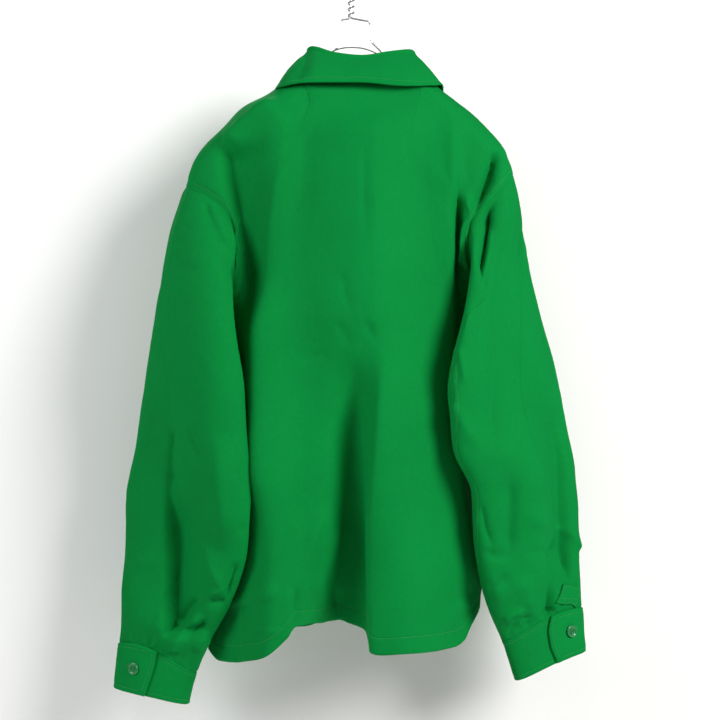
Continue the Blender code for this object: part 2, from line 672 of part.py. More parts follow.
make_back()
make_front("front_left", 1)
make_front("front_right", -1)
sheet("zip_tape_left", zip_strip(*TAPE_S, TAPE_DEPTH), TAPE_WALL, TAPE)
sheet("zip_tape_right", zip_strip(-TAPE_S[1], -TAPE_S[0], TAPE_DEPTH), TAPE_WALL, TAPE)
sheet("zip_chain", zip_strip(-CHAIN_S, CHAIN_S, CHAIN_DEPTH), CHAIN_WALL, CHAIN)
for hand, is_left in (("left", True), ("right", False)):
    make_sleeve("sleeve_" + hand, is_left)
    make_cuff("cuff_" + hand, is_left)
    make_button("button_" + hand, is_left)
make_placket()
make_collar()
make_slider_and_tab()
wire("hanger", hanger_path(), WIRE)
wire("hanger_brace", [(x, WIRE + BRACE_WIRE + SEAM, z) for x, z in BRACE], BRACE_WIRE)
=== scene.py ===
# Looks for the cotton-twill blouson on its wire hanger. The CAD frame gives the
# place of everything: metres, +Z up, the wearer facing -Y, the origin at the inner
# top of the hook. Sizes in the tables are millimetres.
import math

import bmesh
import bpy
import numpy as np
from mathutils import Matrix, Vector


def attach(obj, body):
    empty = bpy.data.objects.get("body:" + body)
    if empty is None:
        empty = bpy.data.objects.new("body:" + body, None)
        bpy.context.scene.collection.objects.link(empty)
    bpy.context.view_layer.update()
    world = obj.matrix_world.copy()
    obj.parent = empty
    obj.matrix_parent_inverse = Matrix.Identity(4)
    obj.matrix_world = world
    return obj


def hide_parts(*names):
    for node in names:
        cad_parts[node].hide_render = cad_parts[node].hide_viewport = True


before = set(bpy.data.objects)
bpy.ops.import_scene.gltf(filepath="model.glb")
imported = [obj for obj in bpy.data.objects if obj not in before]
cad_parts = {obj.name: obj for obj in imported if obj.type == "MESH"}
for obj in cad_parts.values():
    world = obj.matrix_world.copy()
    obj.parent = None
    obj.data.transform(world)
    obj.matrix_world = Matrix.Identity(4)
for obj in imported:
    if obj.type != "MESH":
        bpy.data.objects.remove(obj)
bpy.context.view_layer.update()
MM = 0.001
TWO_PI = 2 * math.pi

# Walls, and the gap between them.
WALL = 1.6            # body and sleeve cloth with its seam allowances
CUFF_WALL = 2.4       # two layers with stiffening
COLLAR_WALL = 2.4
TAPE_WALL = 0.7
PATCH_WALL = 1.2
SEAM = 0.3            # left open between neighbouring pieces
RIM = 0.8             # how far a rolled edge stands out, as a share of half its wall

# Body. Panels have s from -1 at the right edge to 1 at the left, and v from hem to top.
NECK_X, NECK_Y = -7.0, -6.0
NECK_HALF_WIDE, NECK_HALF_DEEP = 77.0, 46.0
NECK_SIDE_Z, NECK_BACK_DROP, NECK_FRONT_DROP = -147.0, 12.0, 65.0
NECK_S = 0.42         # share of a panel's half width that lies along the neck
SHOULDER_ROUND = 26.0
BACK_FULLNESS, FRONT_FULLNESS = 1.4, 1.0
FOLD_FADE = 60.0      # length over which a body fold rises at its upper end
SPREAD_FROM = 0.72    # above this v a panel's columns lean towards their places at the top
UNDERARM_L, UNDERARM_R = 0.61, 0.58
SHOULDER_SHIFT, SIDE_SHIFT = 0.25, 0.95
SIDE_CLOTH = 240      # cloth that a whole unit of s would take up at a panel's side
EDGE_S = 1 - SEAM / 2 / SIDE_CLOTH
# Rows of a panel, closer together at the sewn hem and where the top rolls over.
PANEL_ROWS = np.concatenate([
    np.linspace(0, 0.02, 5),
    np.linspace(0.0215, 0.0385, 15),
    np.linspace(0.042, 0.958, 170),
    1 - 0.04 * (1 - np.cos(np.radians(np.linspace(82, 0, 13)))),
])

# Sleeves. Angles go round them: 0 on top, 90 behind, 180 under the arm, 270 in front.
ARMHOLE_GAP = -0.4    # the sleeve's top edge tucks a little under the body's
CUFF_GAP = 3 * SEAM
SLEEVE_ENDS = 6       # row of the sections' tables where the cuff begins
CAP_FULLNESS = 8.0    # how far the upper sleeve stands out beyond a plain curve
CAP_FULL_AT = -35     # the angle at which it does
CAP_PEAK = 0.035      # about the highest value of u**3 * (1 - u)**2
CAP_PULLS = (0.9, 1.1)  # how strongly the cap follows its directions at the armhole and below it
TIP_R = 0.6           # the share of its way outward with which the right sleeve leaves its shoulder tip

# Cuffs and their buttons.
LAP_FOOT = -34        # the angle of a cuff's under end
LAP_FROM = 270        # angles from here on are stretched to the cuff's button end
LAP_LAST = 359        # the last of them, before it is stretched
CUFF_LAP = 3.6        # how far the button's end stands over the end beneath it
# Where a cuff's button end stops, as angles from its top to its foot, then its button's angle and row.
LAP_ENDS_L, BUTTON_L = (11, 10, 6, 1), (-18.5, 0.5)
LAP_ENDS_R, BUTTON_R = (1, 7, 7, 2), (-26, 0.48)
BUTTON_SINK = 0.8     # how deep a button's foot presses into the cuff
HOLE_R = 0.95
BUTTON_HOLES = ((-1.5, -1.5), (1.5, -1.5), (1.5, 1.5), (-1.5, 1.5))
# Half profile of a button, radius and height, from its foot round the rim to the dished middle.
BUTTON_TURNING = (
    (4.9, 0.0), (6.4, 0.35), (7.25, 0.9), (7.55, 1.55), (7.45, 2.2), (7.1, 2.75), (6.6, 3.0),
    (6.05, 2.98), (5.6, 2.7), (5.25, 2.3), (4.6, 2.08), (3.0, 2.0), (1.0, 1.98),
)
BUTTON_THREAD_R = 0.17
THREAD_LEVEL, THREAD_ARCH, THREAD_DIVE = 2.25, 0.35, 0.9
# The placket end's corners as angle and row of RINGS_R: the upper two, then the lower two.
PLACKET = ((-24, 4.45), (-57, 4.95)), ((-8, 4.97), (-43, 5.9))
PATCH_LIFT = 0.9      # how far it stands off the sleeve beyond a seam's gap

# Collar.
COLLAR_CLEAR = 2.4    # its lower edge above the neck seam
COLLAR_FOLD = (0.4, 0.6)  # the share of its depth, from seam to edge, that rolls over
FOLD_R = 3.4

# Zip.
ZIP_S = 0.0165        # half the gap between the two front edges
CHAIN_S = 0.0098
TAPE_S = (0.003, 0.05)
TAPE_DEPTH = WALL / 2 + SEAM + TAPE_WALL / 2 + 0.1
CHAIN_DEPTH = -0.15
ZIP_FOOT, CHAIN_TOP = 0.008, 0.985
TOOTH_PITCH = 1.25
TOOTH_OUTLINE = (
    (2.35, -0.5), (2.35, 0.5), (0.6, 0.5), (0.1, 0.62),
    (-0.65, 0.42), (-0.65, -0.42), (0.1, -0.62), (0.6, -0.5),
)
TOOTH_LEVELS = ((1.0, -0.75), (1.0, 0.45), (0.72, 0.85))  # size and height of its foot, shoulder and top

# Stitching: how far its rows lie from the edge or seam.
HEM = 19.0
FELL = 7.0            # beside the panels' seams and the zip
SLEEVE_FELL = 4.2     # to each side of a sleeve's seam
CUFF_STITCH = 4.5
COLLAR_STITCH = 6.0
PATCH_STITCH = 2.0
PATCH_BAR = 8.0       # the second row below the patch's top
THREAD_R = 0.26
STITCH_SIDES = 6
# The rings of a stitch: their places along it, their heights and radii, as shares of a THREAD_R thread.
STITCH_PLACES = np.array([-0.5, -0.3, 0.3, 0.5])
STITCH_HEIGHTS = np.array([-0.12, 0.1, 0.1, -0.12])
STITCH_RADII = np.array([0.35, 1, 1, 0.35])

WALE = 0.8            # from one of the twill's ribs to the next
# A wave texture's scale times the distance along X at which its diagonal bands repeat.
# Its X and Y bands repeat twice as often.
WAVE_UNIT = TWO_PI / 10

# View and light.
CAMERA = (-10.8, 1640.0, -498.0)
PLANE_Y = 40.0        # where one step of the picture is PITCH
PITCH = 1.2
HALF_VIEW = 360       # steps from the picture's middle to its edge
BACKDROP_Y = -0.135
FLOOR_Z = -1.62
ROOM = 0.17
LIGHT_AIM = (0.0, 0.0, -0.45)
# Lights: name, place, size, watts, colour.
LIGHTS = (
    ("window", (-1.76, 1.64, 0.55), 1.2, 79.0, (1.0, 0.99, 0.97)),
    ("room_bounce", (1.95, 1.13, 0.4), 1.4, 34.0, (0.97, 0.99, 1.0)),
    ("far_side", (0.6, -2.4, 0.8), 1.6, 30.0, (1.0, 1.0, 1.0)),
)

# The felled seam of each sleeve: row, angle.
SEAM_L = ((0, 180), (1, 165), (3, 150), (5, 160), (7, 170))
SEAM_R = (
    (0, 180), (0.4, 150), (0.7, 96), (1.0, 84), (1.6, 92),
    (2.2, 99), (3.0, 93), (4.0, 97), (5.0, 120), (7, 150),
)

# Side and armhole edge: v up the edge, back panel x and y, front panel x and y.
EDGE_L = (
    (0.00, 175, 0, 175, 0),
    (0.10, 175, -16, 175, -16),
    (0.30, 172, -42, 172, -42),
    (0.50, 168, -52, 168, -52),
    (0.61, 170, -46, 170, -46),
    (0.66, 164, -24, 166, -52),
    (0.72, 153, 8, 154, -52),
    (0.80, 144, 32, 143, -49),
    (0.88, 140, 42, 139, -45),
    (0.93, 146, 42, 150, -41),
    (0.965, 168, 40, 172, -38),
    (1.00, 202, 38, 202, -36),
)
EDGE_R = (
    (0.00, -158, -6, -158, -6),
    (0.10, -162, -20, -162, -20),
    (0.30, -166, -42, -166, -42),
    (0.48, -164, -52, -164, -52),
    (0.58, -166, -46, -166, -46),
    (0.64, -161, -24, -162, -52),
    (0.71, -151, 8, -150, -52),
    (0.79, -143, 32, -141, -49),
    (0.87, -141, 44, -138, -45),
    (0.92, -160, 44, -152, -41),
    (0.96, -181, 40, -176, -38),
    (1.00, -198, 38, -198, -36),
)
# Depth at mid back and mid front: v, back y, front y.
MIDDLE = (
    (0.00, 72, -80),
    (0.20, 74, -84),
    (0.40, 74, -86),
    (0.60, 70, -82),
    (0.75, 62, -72),
    (0.88, 54, -62),
    (0.95, 50, -57),
    (1.00, 46, -54),
)
# Hem and shoulder ridge: x, z.
HEM_BACK = (
    (-158, -802),
    (-145, -821),
    (-136, -837),
    (-124, -842),
    (-100, -840),
    (-68, -837),
    (-45, -839),
    (-27, -833),
    (-8, -820),
    (17, -815),
    (60, -812),
    (74, -817),
    (84, -831),
    (100, -844),
    (118, -852),
    (141, -860),
    (160, -862),
    (175, -852),
)
HEM_FRONT = (
    (-158, -802),
    (-120, -812),
    (-60, -822),
    (0, -828),
    (60, -834),
    (130, -846),
    (175, -852),
)
RIDGE_L = ((70, -147), (107, -176), (132, -192), (156, -216), (182, -241), (194, -260), (202, -285))
RIDGE_R = ((84, -147), (112, -169), (141, -191), (167, -216), (188, -241), (194, -256), (198, -270))
# Body folds: x at three heights z, half width and height off the panel at each.
FOLDS_BACK = (
    ((81, -175), (95, -430), (93, -850), (22, 31, 34), (4, 12, 34)),
    ((-3, -480), (-3, -690), (30, -850), (14, 24, 42), (0, -24, -58)),
    ((-55, -250), (-62, -560), (-75, -850), (22, 36, 34), (5, 12, 34)),
)
FOLDS_FRONT = (
    ((96, -250), (116, -520), (128, -850), (24, 34, 34), (3, 8, 14)),
    ((55, -400), (58, -620), (62, -850), (16, 22, 26), (0, -10, -30)),
    ((-45, -380), (-55, -620), (-64, -850), (16, 22, 26), (0, -8, -26)),
    ((-95, -250), (-112, -520), (-122, -850), (24, 34, 34), (3, 8, 16)),
)
# Sleeve sections: inner edge x y z, outer edge x y z, half thickness, how far the outside is drawn up.
RINGS_L = (
    (132, 79, -545, 250, -57, -545, 31, 0),
    (127, 78, -610, 260, -54, -606, 30, 0),
    (122, 78, -670, 269, -46, -660, 31, 0),
    (125, 72, -725, 275, -40, -710, 30, 0),
    (146, 54, -790, 280, -30, -765, 27, 1),
    (172, 34, -838, 284, -21, -808, 24, 6),
    (190, 19, -879, 286, -18, -852, 20, 16),
    (199, 16, -916, 291, -15, -903, 19, 4),
)
RINGS_R = (
    (-118, 92, -545, -260, -45, -545, 34, 0),
    (-124, 86, -602, -268, -45, -590, 34, 0),
    (-147, 74, -655, -276, -45, -640, 33, 0),
    (-150, 64, -710, -282, -42, -690, 31, 0),
    (-162, 46, -780, -282, -34, -745, 28, 1),
    (-176, 32, -820, -283, -24, -780, 24, 4),
    (-185, 24, -840, -284, -20, -808, 20, 14),
    (-201, 19, -887, -287, -16, -859, 19, 8),
)
# How the sleeve leaves the armhole, by angle round it: out, back, down.
LEAVES = (
    (0, 0.45, 0.0, 0.90),
    (60, 0.20, 0.60, 0.75),
    (100, 0.20, 0.75, 0.60),
    (180, 0.75, 0.10, 0.40),
    (225, 0.75, -0.20, 0.45),
    (270, 0.60, -0.50, 0.60),
    (360, 0.45, 0.0, 0.90),
)
# Sleeve folds: angle and row at the top and the foot, half width in degrees, height.
FOLDS_SLEEVE_L = ((-10, 0.9, 10, 4.6, 26, -7), (-60, 1.6, -50, 4.8, 24, 5))
FOLDS_SLEEVE_R = ((20, 0.6, 8, 4.2, 20, 7), (-32, 1.2, -28, 4.6, 22, -6))
# Collar at angle round the neck: fold x y z, outer edge x y z.
COLLAR = (
    (-172, -15, -50, -184, -50, -76, -258),
    (-150, -43, -49, -164, -82, -71, -232),
    (-135, -59, -42, -147, -98, -65, -208),
    (-120, -70, -31, -133, -110, -55, -186),
    (-105, -76, -19, -124, -114, -32, -168),
    (-90, -76, -6, -119, -113, -4, -163),
    (-75, -74, 3, -118, -110, 22, -164),
    (-60, -69, 10, -119, -103, 42, -168),
    (-30, -44, 20, -124, -62, 57, -172),
    (0, -13, 23, -129, -8, 58, -168),
    (30, 20, 21, -125, 50, 57, -168),
    (60, 43, 11, -116, 84, 40, -170),
    (75, 49, 3, -114, 91, 23, -169),
    (90, 51, -6, -114, 93, -2, -169),
    (105, 51, -19, -120, 94, -31, -173),
    (120, 46, -32, -129, 91, -54, -190),
    (135, 37, -43, -144, 84, -65, -214),
    (150, 23, -50, -162, 72, -71, -238),
    (172, -1, -50, -184, 38, -76, -260),
)

# Creases, seen from behind. Their lines run over the camera's view, in steps of
# PITCH mm across and down from its top left corner; half widths before and beyond
# the line (left and right of it going down), and the height, are in steps too.
# Then come how crisp it is and the shares of its length over which its ends fade,
# as far as they aren't what add_crease takes for granted.
CREASES_BACK = (
    (((287, 92), (285, 150), (280, 200), (270, 260), (267, 330), (267, 420), (268, 500), (258, 566)),
     30, 15, 12.0, 1.5, 0.06, 0.2),
    (((290, 92), (286, 130), (281, 170), (274, 230), (268, 290)), 46, 13, 11.0, 1.6, 0.35, 0.6),
    (((266, 290), (265, 360), (267, 440), (268, 520)), 12, 13, 7.0, 1.6, 0.25, 0.25),
    (((228, 142), (231, 172), (239, 210), (247, 262), (251, 330)), 6, 34, -14.0, 1.5, 0.1, 0.35),
    (((284, 101), (253, 120), (224, 144)), 3, 22, 8.0, 1.3, 0.2, 0.15),
    (((374, 100), (375, 190), (374, 260), (373, 330), (371, 400)), 56, 26, 17.0, 1.8, 0.12),
    (((385, 330), (381, 400), (380, 460), (380, 520), (381, 580), (383, 655)), 10, 30, 19.0, 1.5, 0.3, 0.0),
    (((353, 350), (354, 450), (356, 540), (358, 655)), 18, 12, -9.0, 1.7, 0.25, 0.0),
    (((322, 420), (318, 500), (322, 580)), 22, 18, 2.5, 2.0, 0.4),
    (((452, 104), (450, 180), (444, 300), (444, 400), (452, 480), (466, 560), (478, 610)),
     28, 9, 13.0, 1.8, 0.12, 0.1),
    (((365, 142), (364, 200), (366, 250)), 3, 5, -1.0),
    (((341, 270), (347, 300), (352, 316)), 4, 5, -1.2),
    (((336, 320), (344, 335), (352, 349)), 4, 5, -1.3),
    (((362, 318), (370, 332), (378, 346)), 4, 5, -1.3),
    (((377, 322), (366, 338), (356, 352)), 4, 5, -1.2),
    (((298, 361), (318, 356), (336, 348)), 5, 5, -1.0, 1.6, 0.4, 0.4),
    (((330, 500), (308, 552), (292, 604)), 8, 7, 4.0, 1.7, 0.25, 0.25),
    (((344, 520), (326, 566), (312, 600)), 6, 5, 2.4),
    (((224, 604), (252, 600), (282, 591)), 4, 9, 4.0, 1.5, 0.2, 0.2),
    (((289, 584), (287, 612), (285, 636)), 6, 3, 4.0, 1.5, 0.3, 0.0),
    (((295, 588), (294, 626)), 3, 4, -3.0, 1.5, 0.3, 0.0),
    (((336, 586), (338, 628)), 2.5, 5, -5.0, 1.4, 0.4, 0.0),
    (((318, 570), (322, 605), (318, 645)), 9, 7, 3.0, 1.8, 0.4, 0.0),
    (((501, 150), (489, 182), (481, 206), (478, 232)), 6, 4, -16.0, 1.3, 0.1, 0.2),
    (((456, 176), (459, 240), (460, 304)), 5, 4, -12.0, 1.4),
    (((466, 190), (470, 240), (468, 280)), 6, 5, 14.0),
    (((463, 213), (471, 228), (481, 244)), 3, 3, -2.6, 1.4),
    (((436, 98), (443, 160), (450, 232)), 14, 10, -3.5, 2.0, 0.3, 0.4),
    (((436, 634), (452, 612), (474, 597)), 8, 8, 3.0, 1.8),
    (((420, 560), (432, 606), (438, 655)), 9, 12, 2.4, 2.0, 0.4, 0.0),
    (((240, 612), (248, 640), (247, 668)), 7, 6, 2.6, 1.8, 0.3, 0.0),
    (((256, 640), (268, 632), (284, 630)), 4, 4, 1.6),
)
CREASES_FRONT = (
    (((268, 150), (262, 260), (258, 400), (262, 520)), 12, 24, 7.0, 1.9, 0.2),
    (((240, 240), (246, 320), (244, 420)), 9, 20, -6.0, 1.8),
    (((300, 360), (306, 470), (302, 660)), 15, 9, -7.0, 1.9, 0.35, 0.0),
    (((330, 330), (326, 350)), 4, 4, -1.8),
    (((395, 250), (402, 400), (400, 660)), 9, 26, 6.0, 1.8, 0.3, 0.0),
    (((425, 300), (430, 430), (424, 560)), 14, 9, -5.0, 1.9, 0.3, 0.2),
    (((462, 220), (452, 300), (456, 380)), 5, 8, -5.0),
    (((320, 520), (300, 556), (282, 580)), 8, 5, 3.4),
    (((402, 560), (420, 590), (440, 604)), 5, 8, 3.0),
    (((280, 600), (278, 660)), 4, 5, 3.0, 1.5, 0.3, 0.0),
    (((345, 585), (343, 650)), 4, 4, -3.4, 1.5, 0.4, 0.0),
    (((385, 596), (388, 660)), 3, 5, -3.4, 1.5, 0.4, 0.0),
    (((446, 160), (436, 230), (440, 300)), 9, 12, 4.0, 2.0, 0.3, 0.4),
)
CREASES_SLEEVE_BACK_L = (
    (((203, 192), (208, 240), (213, 290), (215, 360), (216, 450), (212, 540)), 34, 30, 7.5, 1.8, 0.15, 0.2),
    (((140, 250), (138, 340), (140, 440), (136, 560)), 30, 40, 7.0, 2.0),
    (((205, 200), (212, 222), (224, 243), (235, 252)), 3.5, 3, -4.0, 1.4, 0.15),
    (((221, 258), (231, 280), (240, 296)), 4, 4, -3.4, 1.5),
    (((176, 228), (188, 229), (201, 228)), 4, 5, -0.8, 1.6, 0.45, 0.45),
    (((170, 264), (190, 269), (208, 267)), 8, 7, -1.8, 1.8, 0.45, 0.45),
    (((172, 302), (186, 303), (202, 302)), 4, 5, -0.7, 1.6, 0.45, 0.45),
    (((177, 424), (174, 450), (171, 500)), 2.5, 7, -5.0, 1.4, 0.2, 0.35),
    (((171, 468), (169, 520), (168, 570), (166, 640)), 2.5, 34, -18.0, 1.5, 0.4, 0.06),
    (((191, 426), (199, 444), (207, 462)), 4, 4, -3.0, 1.5),
    (((166, 470), (180, 478), (194, 470)), 5, 5, -2.0),
    (((226, 430), (225, 500), (219, 556)), 12, 16, 8.0, 1.8),
    (((198, 530), (206, 562), (214, 580), (227, 594)), 4, 9, 4.4, 1.5, 0.3, 0.25),
    (((204, 594), (216, 593), (230, 588)), 3.5, 3.5, 4.0, 1.4, 0.3, 0.25),
    (((206, 602), (216, 604), (228, 600)), 4, 4, -5.0, 1.5),
    (((238, 560), (232, 582), (224, 600)), 5, 4, -4.4, 1.6, 0.3, 0.2),
    (((171, 654), (182, 632), (204, 616)), 5, 8, 7.0, 1.5, 0.15),
    (((172, 626), (182, 608), (196, 602)), 6, 6, -5.5, 1.7, 0.2),
    (((182, 642), (196, 631), (210, 624)), 4, 5, -5.0, 1.5),
    (((194, 652), (202, 642), (208, 634)), 4, 4, 3.0),
    (((160, 556), (146, 562), (132, 560)), 7, 7, 1.6, 1.8),
    (((236, 532), (249, 524)), 4, 5, -1.3),
)
CREASES_SLEEVE_FRONT_L = (
    (((150, 330), (165, 400), (172, 500), (168, 600)), 14, 9, -8.0, 1.8, 0.3, 0.2),
    (((200, 300), (206, 380), (214, 460)), 10, 16, 6.0, 1.9),
    (((205, 480), (222, 500), (236, 505)), 4, 5, -3.6),
    (((196, 505), (214, 520), (236, 522)), 4, 5, 3.4),
    (((160, 640), (158, 610), (150, 580)), 5, 6, 4.0, 1.8, 0.2),
    (((185, 650), (190, 620), (204, 600)), 5, 6, -4.4, 1.8, 0.2),
)
CREASES_SLEEVE_BACK_R = (
    (((512, 192), (511, 250), (508, 320), (502, 400), (494, 460)), 24, 46, -17.0, 1.1, 0.3, 0.2),
    (((494, 176), (485, 204), (483, 240), (473, 282), (463, 316)), 5, 6, -17.0, 1.35, 0.15, 0.2),
    (((484, 204), (497, 240), (488, 280), (466, 318)), 4, 7, -3.0, 1.5, 0.2),
    (((534, 230), (540, 330), (546, 430)), 12, 12, 3.0, 2.0),
    (((560, 400), (564, 460), (565, 530), (569, 584)), 12, 3.5, -10.0, 1.5, 0.2, 0.12),
    (((560, 524), (572, 536), (581, 552)), 3.5, 5, 3.6, 1.4, 0.25, 0.2),
    (((456, 343), (462, 364), (465, 387)), 3, 4, 3.0, 1.5),
    (((450, 400), (466, 426), (482, 452)), 8, 6, 3.0, 1.7, 0.2),
    (((481, 500), (484, 522), (494, 552)), 3, 4, -3.4, 1.4),
    (((483, 548), (496, 557), (514, 556)), 4, 7, -3.4, 1.5, 0.3, 0.4),
    (((519, 514), (542, 522), (566, 531)), 7, 12, 2.6, 1.8, 0.4, 0.4),
    (((519, 552), (540, 553), (563, 557)), 5, 6, -1.8, 1.6, 0.4, 0.4),
    (((512, 470), (511, 520), (508, 566)), 10, 7, -5.0, 1.8),
    (((488, 592), (500, 582), (514, 576)), 5, 5, -2.6, 1.6, 0.4, 0.4),
    (((486, 570), (496, 586), (498, 608)), 5, 7, 2.6, 1.7, 0.4, 0.4),
    (((502, 624), (512, 615), (526, 609)), 3, 4, 4.0, 1.4),
    (((506, 634), (520, 622), (536, 614)), 3, 3, -4.0, 1.4),
    (((562, 536), (560, 560), (554, 584), (550, 604), (548, 622)), 6, 3, -8.0, 1.5, 0.2, 0.1),
    (((520, 570), (526, 596), (533, 614)), 10, 10, 3.0, 2.0, 0.4),
)
CREASES_SLEEVE_FRONT_R = (
    (((530, 300), (524, 400), (520, 500)), 16, 12, -7.0, 1.9),
    (((500, 380), (512, 410), (530, 426)), 5, 6, -4.0),
    (((496, 396), (508, 430), (524, 446)), 5, 6, 3.4),
    (((560, 420), (556, 500), (550, 580)), 10, 14, 6.0, 1.9),
    (((520, 630), (528, 600), (524, 570)), 5, 6, 4.0, 1.8, 0.2),
    (((548, 620), (546, 596), (556, 570)), 5, 5, -4.4, 1.8, 0.2),
)
CREASES_SLEEVES = (
    (CREASES_SLEEVE_BACK_R, CREASES_SLEEVE_FRONT_R),
    (CREASES_SLEEVE_BACK_L, CREASES_SLEEVE_FRONT_L),
)
CREASES_COLLAR = (
    (((309, 49), (303, 68), (293, 88)), 6, 4, -2.0, 1.6, 0.1, 0.2),
    (((318, 50), (312, 84)), 5, 7, 1.6, 1.8, 0.2, 0.2),
    (((404, 53), (416, 74), (428, 92)), 6, 6, -1.4, 1.8, 0.1, 0.2),
    (((350, 56), (346, 68), (336, 80)), 9, 9, -1.0, 2.0, 0.1),
    (((380, 54), (386, 84)), 9, 9, 1.0, 2.0, 0.2),
)


def lerp(a, b, t):
    return a + (b - a) * t


def ease(t):
    t = np.clip(t, 0, 1)
    return t * t * (3 - 2 * t)


def unit(v):
    """Vectors drawn to length 1."""
    return v / np.linalg.norm(v, axis=-1, keepdims=True)


def lengths(grid, axis=0):
    """Distance along a line of points, or along a grid's lines in one direction."""
    steps = np.linalg.norm(np.diff(grid, axis=axis), axis=-1)
    return np.concatenate([np.zeros_like(steps.take([0], axis)), np.cumsum(steps, axis)], axis)


def measures(grid):
    """Distances along the cloth of a grid from its first, last, bottom and top edges."""
    across, up = lengths(grid, 0), lengths(grid, 1)
    return across, across[-1:] - across, up, up[:, -1:] - up


def smooth(xs, ys, x):
    """A cubic through the points that makes no new high or low between them."""
    xs, ys, x = (np.asarray(part, float) for part in (xs, ys, x))
    wide = np.diff(xs)
    slope = np.diff(ys) / wide
    turn = slope[1:] * slope[:-1] > 0
    total = np.where(turn, slope[1:] + slope[:-1], 1.0)
    at = np.concatenate([slope[:1], np.where(turn, 2 * slope[1:] * slope[:-1] / total, 0), slope[-1:]])
    i = np.clip(np.searchsorted(xs, x) - 1, 0, len(xs) - 2)
    t = np.clip((x - xs[i]) / wide[i], 0, 1)
    ends = ys[i] * (1 + 2 * t) * (1 - t) ** 2 + ys[i + 1] * t * t * (3 - 2 * t)
    return ends + wide[i] * (at[i] * t * (1 - t) ** 2 - at[i + 1] * t * t * (1 - t))


def column(rows, value, x):
    """One column of a table at x, which its first column holds."""
    rows = np.asarray(rows, float)
    return smooth(rows[:, 0], rows[:, value], x)


def through(xs, rows, x):
    """All columns of a table at x, along smooth lines through its rows."""
    return np.stack([smooth(xs, values, x) for values in np.transpose(rows)], axis=-1)


def between(xs, rows, x):
    """All columns of a table at x, straight from row to row."""
    return np.stack([np.interp(x, xs, values) for values in np.transpose(rows)], axis=-1)


def spread(left, right, share):
    """A place from right at share -1 to left at 1."""
    return (left + right) / 2 + (left - right) / 2 * share


def folds(rows, x, z):
    """The height off the panel of the folds at x, z: soft ridges, and troughs where it is negative."""
    total = np.zeros(np.broadcast(x, z).shape)
    for top, mid, foot, wide, high in rows:
        heights = (foot[1], mid[1], top[1])
        centre = smooth(heights, (foot[0], mid[0], top[0]), z)
        half = smooth(heights, wide[::-1], z)
        rise = smooth(heights, high[::-1], z) * ease((top[1] + FOLD_FADE - z) / FOLD_FADE)
        total = total + rise * np.exp(-(((x - centre) / half) ** 2))
    return total


def neck(angle):
    """The neck seam at an angle from the centre back."""
    turn = np.radians(angle)
    x = NECK_X + NECK_HALF_WIDE * np.sin(turn)
    y = NECK_Y + NECK_HALF_DEEP * np.cos(turn)
    drop = np.where(np.cos(turn) > 0, NECK_BACK_DROP, NECK_FRONT_DROP)
    return x, y, NECK_SIDE_Z - drop * np.cos(turn) ** 2


def top_line(s, front):
    """The neck seam between s = -NECK_S and NECK_S, and the shoulder ridge beyond."""
    turn = 90 * np.clip(s / NECK_S, -1, 1)
    nx, ny, nz = neck(180 - turn if front else turn)
    out = np.sin(np.clip((np.abs(s) - NECK_S) / (1 - NECK_S), 0, 1) * math.pi / 2)
    left = lerp(RIDGE_L[0][0], RIDGE_L[-1][0], out)
    right = lerp(RIDGE_R[0][0], RIDGE_R[-1][0], out)
    x = np.where(s > 0, left, -right)
    z = np.where(s > 0, column(RIDGE_L, 1, left), column(RIDGE_R, 1, right))
    y = lerp(NECK_Y, 0, out)
    inside = np.abs(s) < NECK_S
    return np.where(inside, nx, x), np.where(inside, ny, y), np.where(inside, nz, z)


def body(s, v, front=False):
    """A point of the back or front: s from -1 at the right edge to 1 at the left, v from hem to top."""
    s, v = np.broadcast_arrays(np.asarray(s, float), np.asarray(v, float))
    xcol, ycol, mcol = (3, 4, 2) if front else (1, 2, 1)
    tx, ty, tz = top_line(s, front)
    tip_l, tip_r = EDGE_L[-1][1], EDGE_R[-1][1]
    at_top = (tx - (tip_l + tip_r) / 2) / ((tip_l - tip_r) / 2)
    bow = np.sin(s * math.pi / 2)
    across = lerp(bow, at_top, ease((v - SPREAD_FROM) / (1 - SPREAD_FROM)))
    x = spread(column(EDGE_L, xcol, v), column(EDGE_R, xcol, v), across)
    hem_z = column(HEM_FRONT if front else HEM_BACK, 1, spread(EDGE_L[0][1], EDGE_R[0][1], bow))
    z = lerp(hem_z, tz, v)
    side = np.where(s > 0, column(EDGE_L, ycol, v), column(EDGE_R, ycol, v))
    middle = column(MIDDLE, mcol, v)
    y = side + (middle - side) * np.cos(s * math.pi / 2) ** (FRONT_FULLNESS if front else BACK_FULLNESS)
    high = folds(FOLDS_FRONT if front else FOLDS_BACK, x, z) * ease((1 - np.abs(s)) / 0.15)
    y = y + (-high if front else high)
    near = 1 - np.clip((tz - z) / SHOULDER_ROUND, 0, 1)
    y = ty + (y - ty) * np.sqrt(1 - near**2)
    return np.stack([x, y, z], axis=-1)


def armhole(left, angle):
    """The armhole seam: 0 at the shoulder tip, 90 at the back, 180 under the arm, 270 at the front."""
    v = np.linspace(1, UNDERARM_L if left else UNDERARM_R, 60)
    end = np.full(v.shape, 1.0 if left else -1.0)
    share = np.where(angle <= 180, angle, 360 - angle) / 180
    sides = []
    for front in (False, True):
        edge = body(end, v, front)
        run = lengths(edge)
        sides.append(between(run / run[-1], edge, share))
    return np.where((angle <= 180)[..., None], *sides)


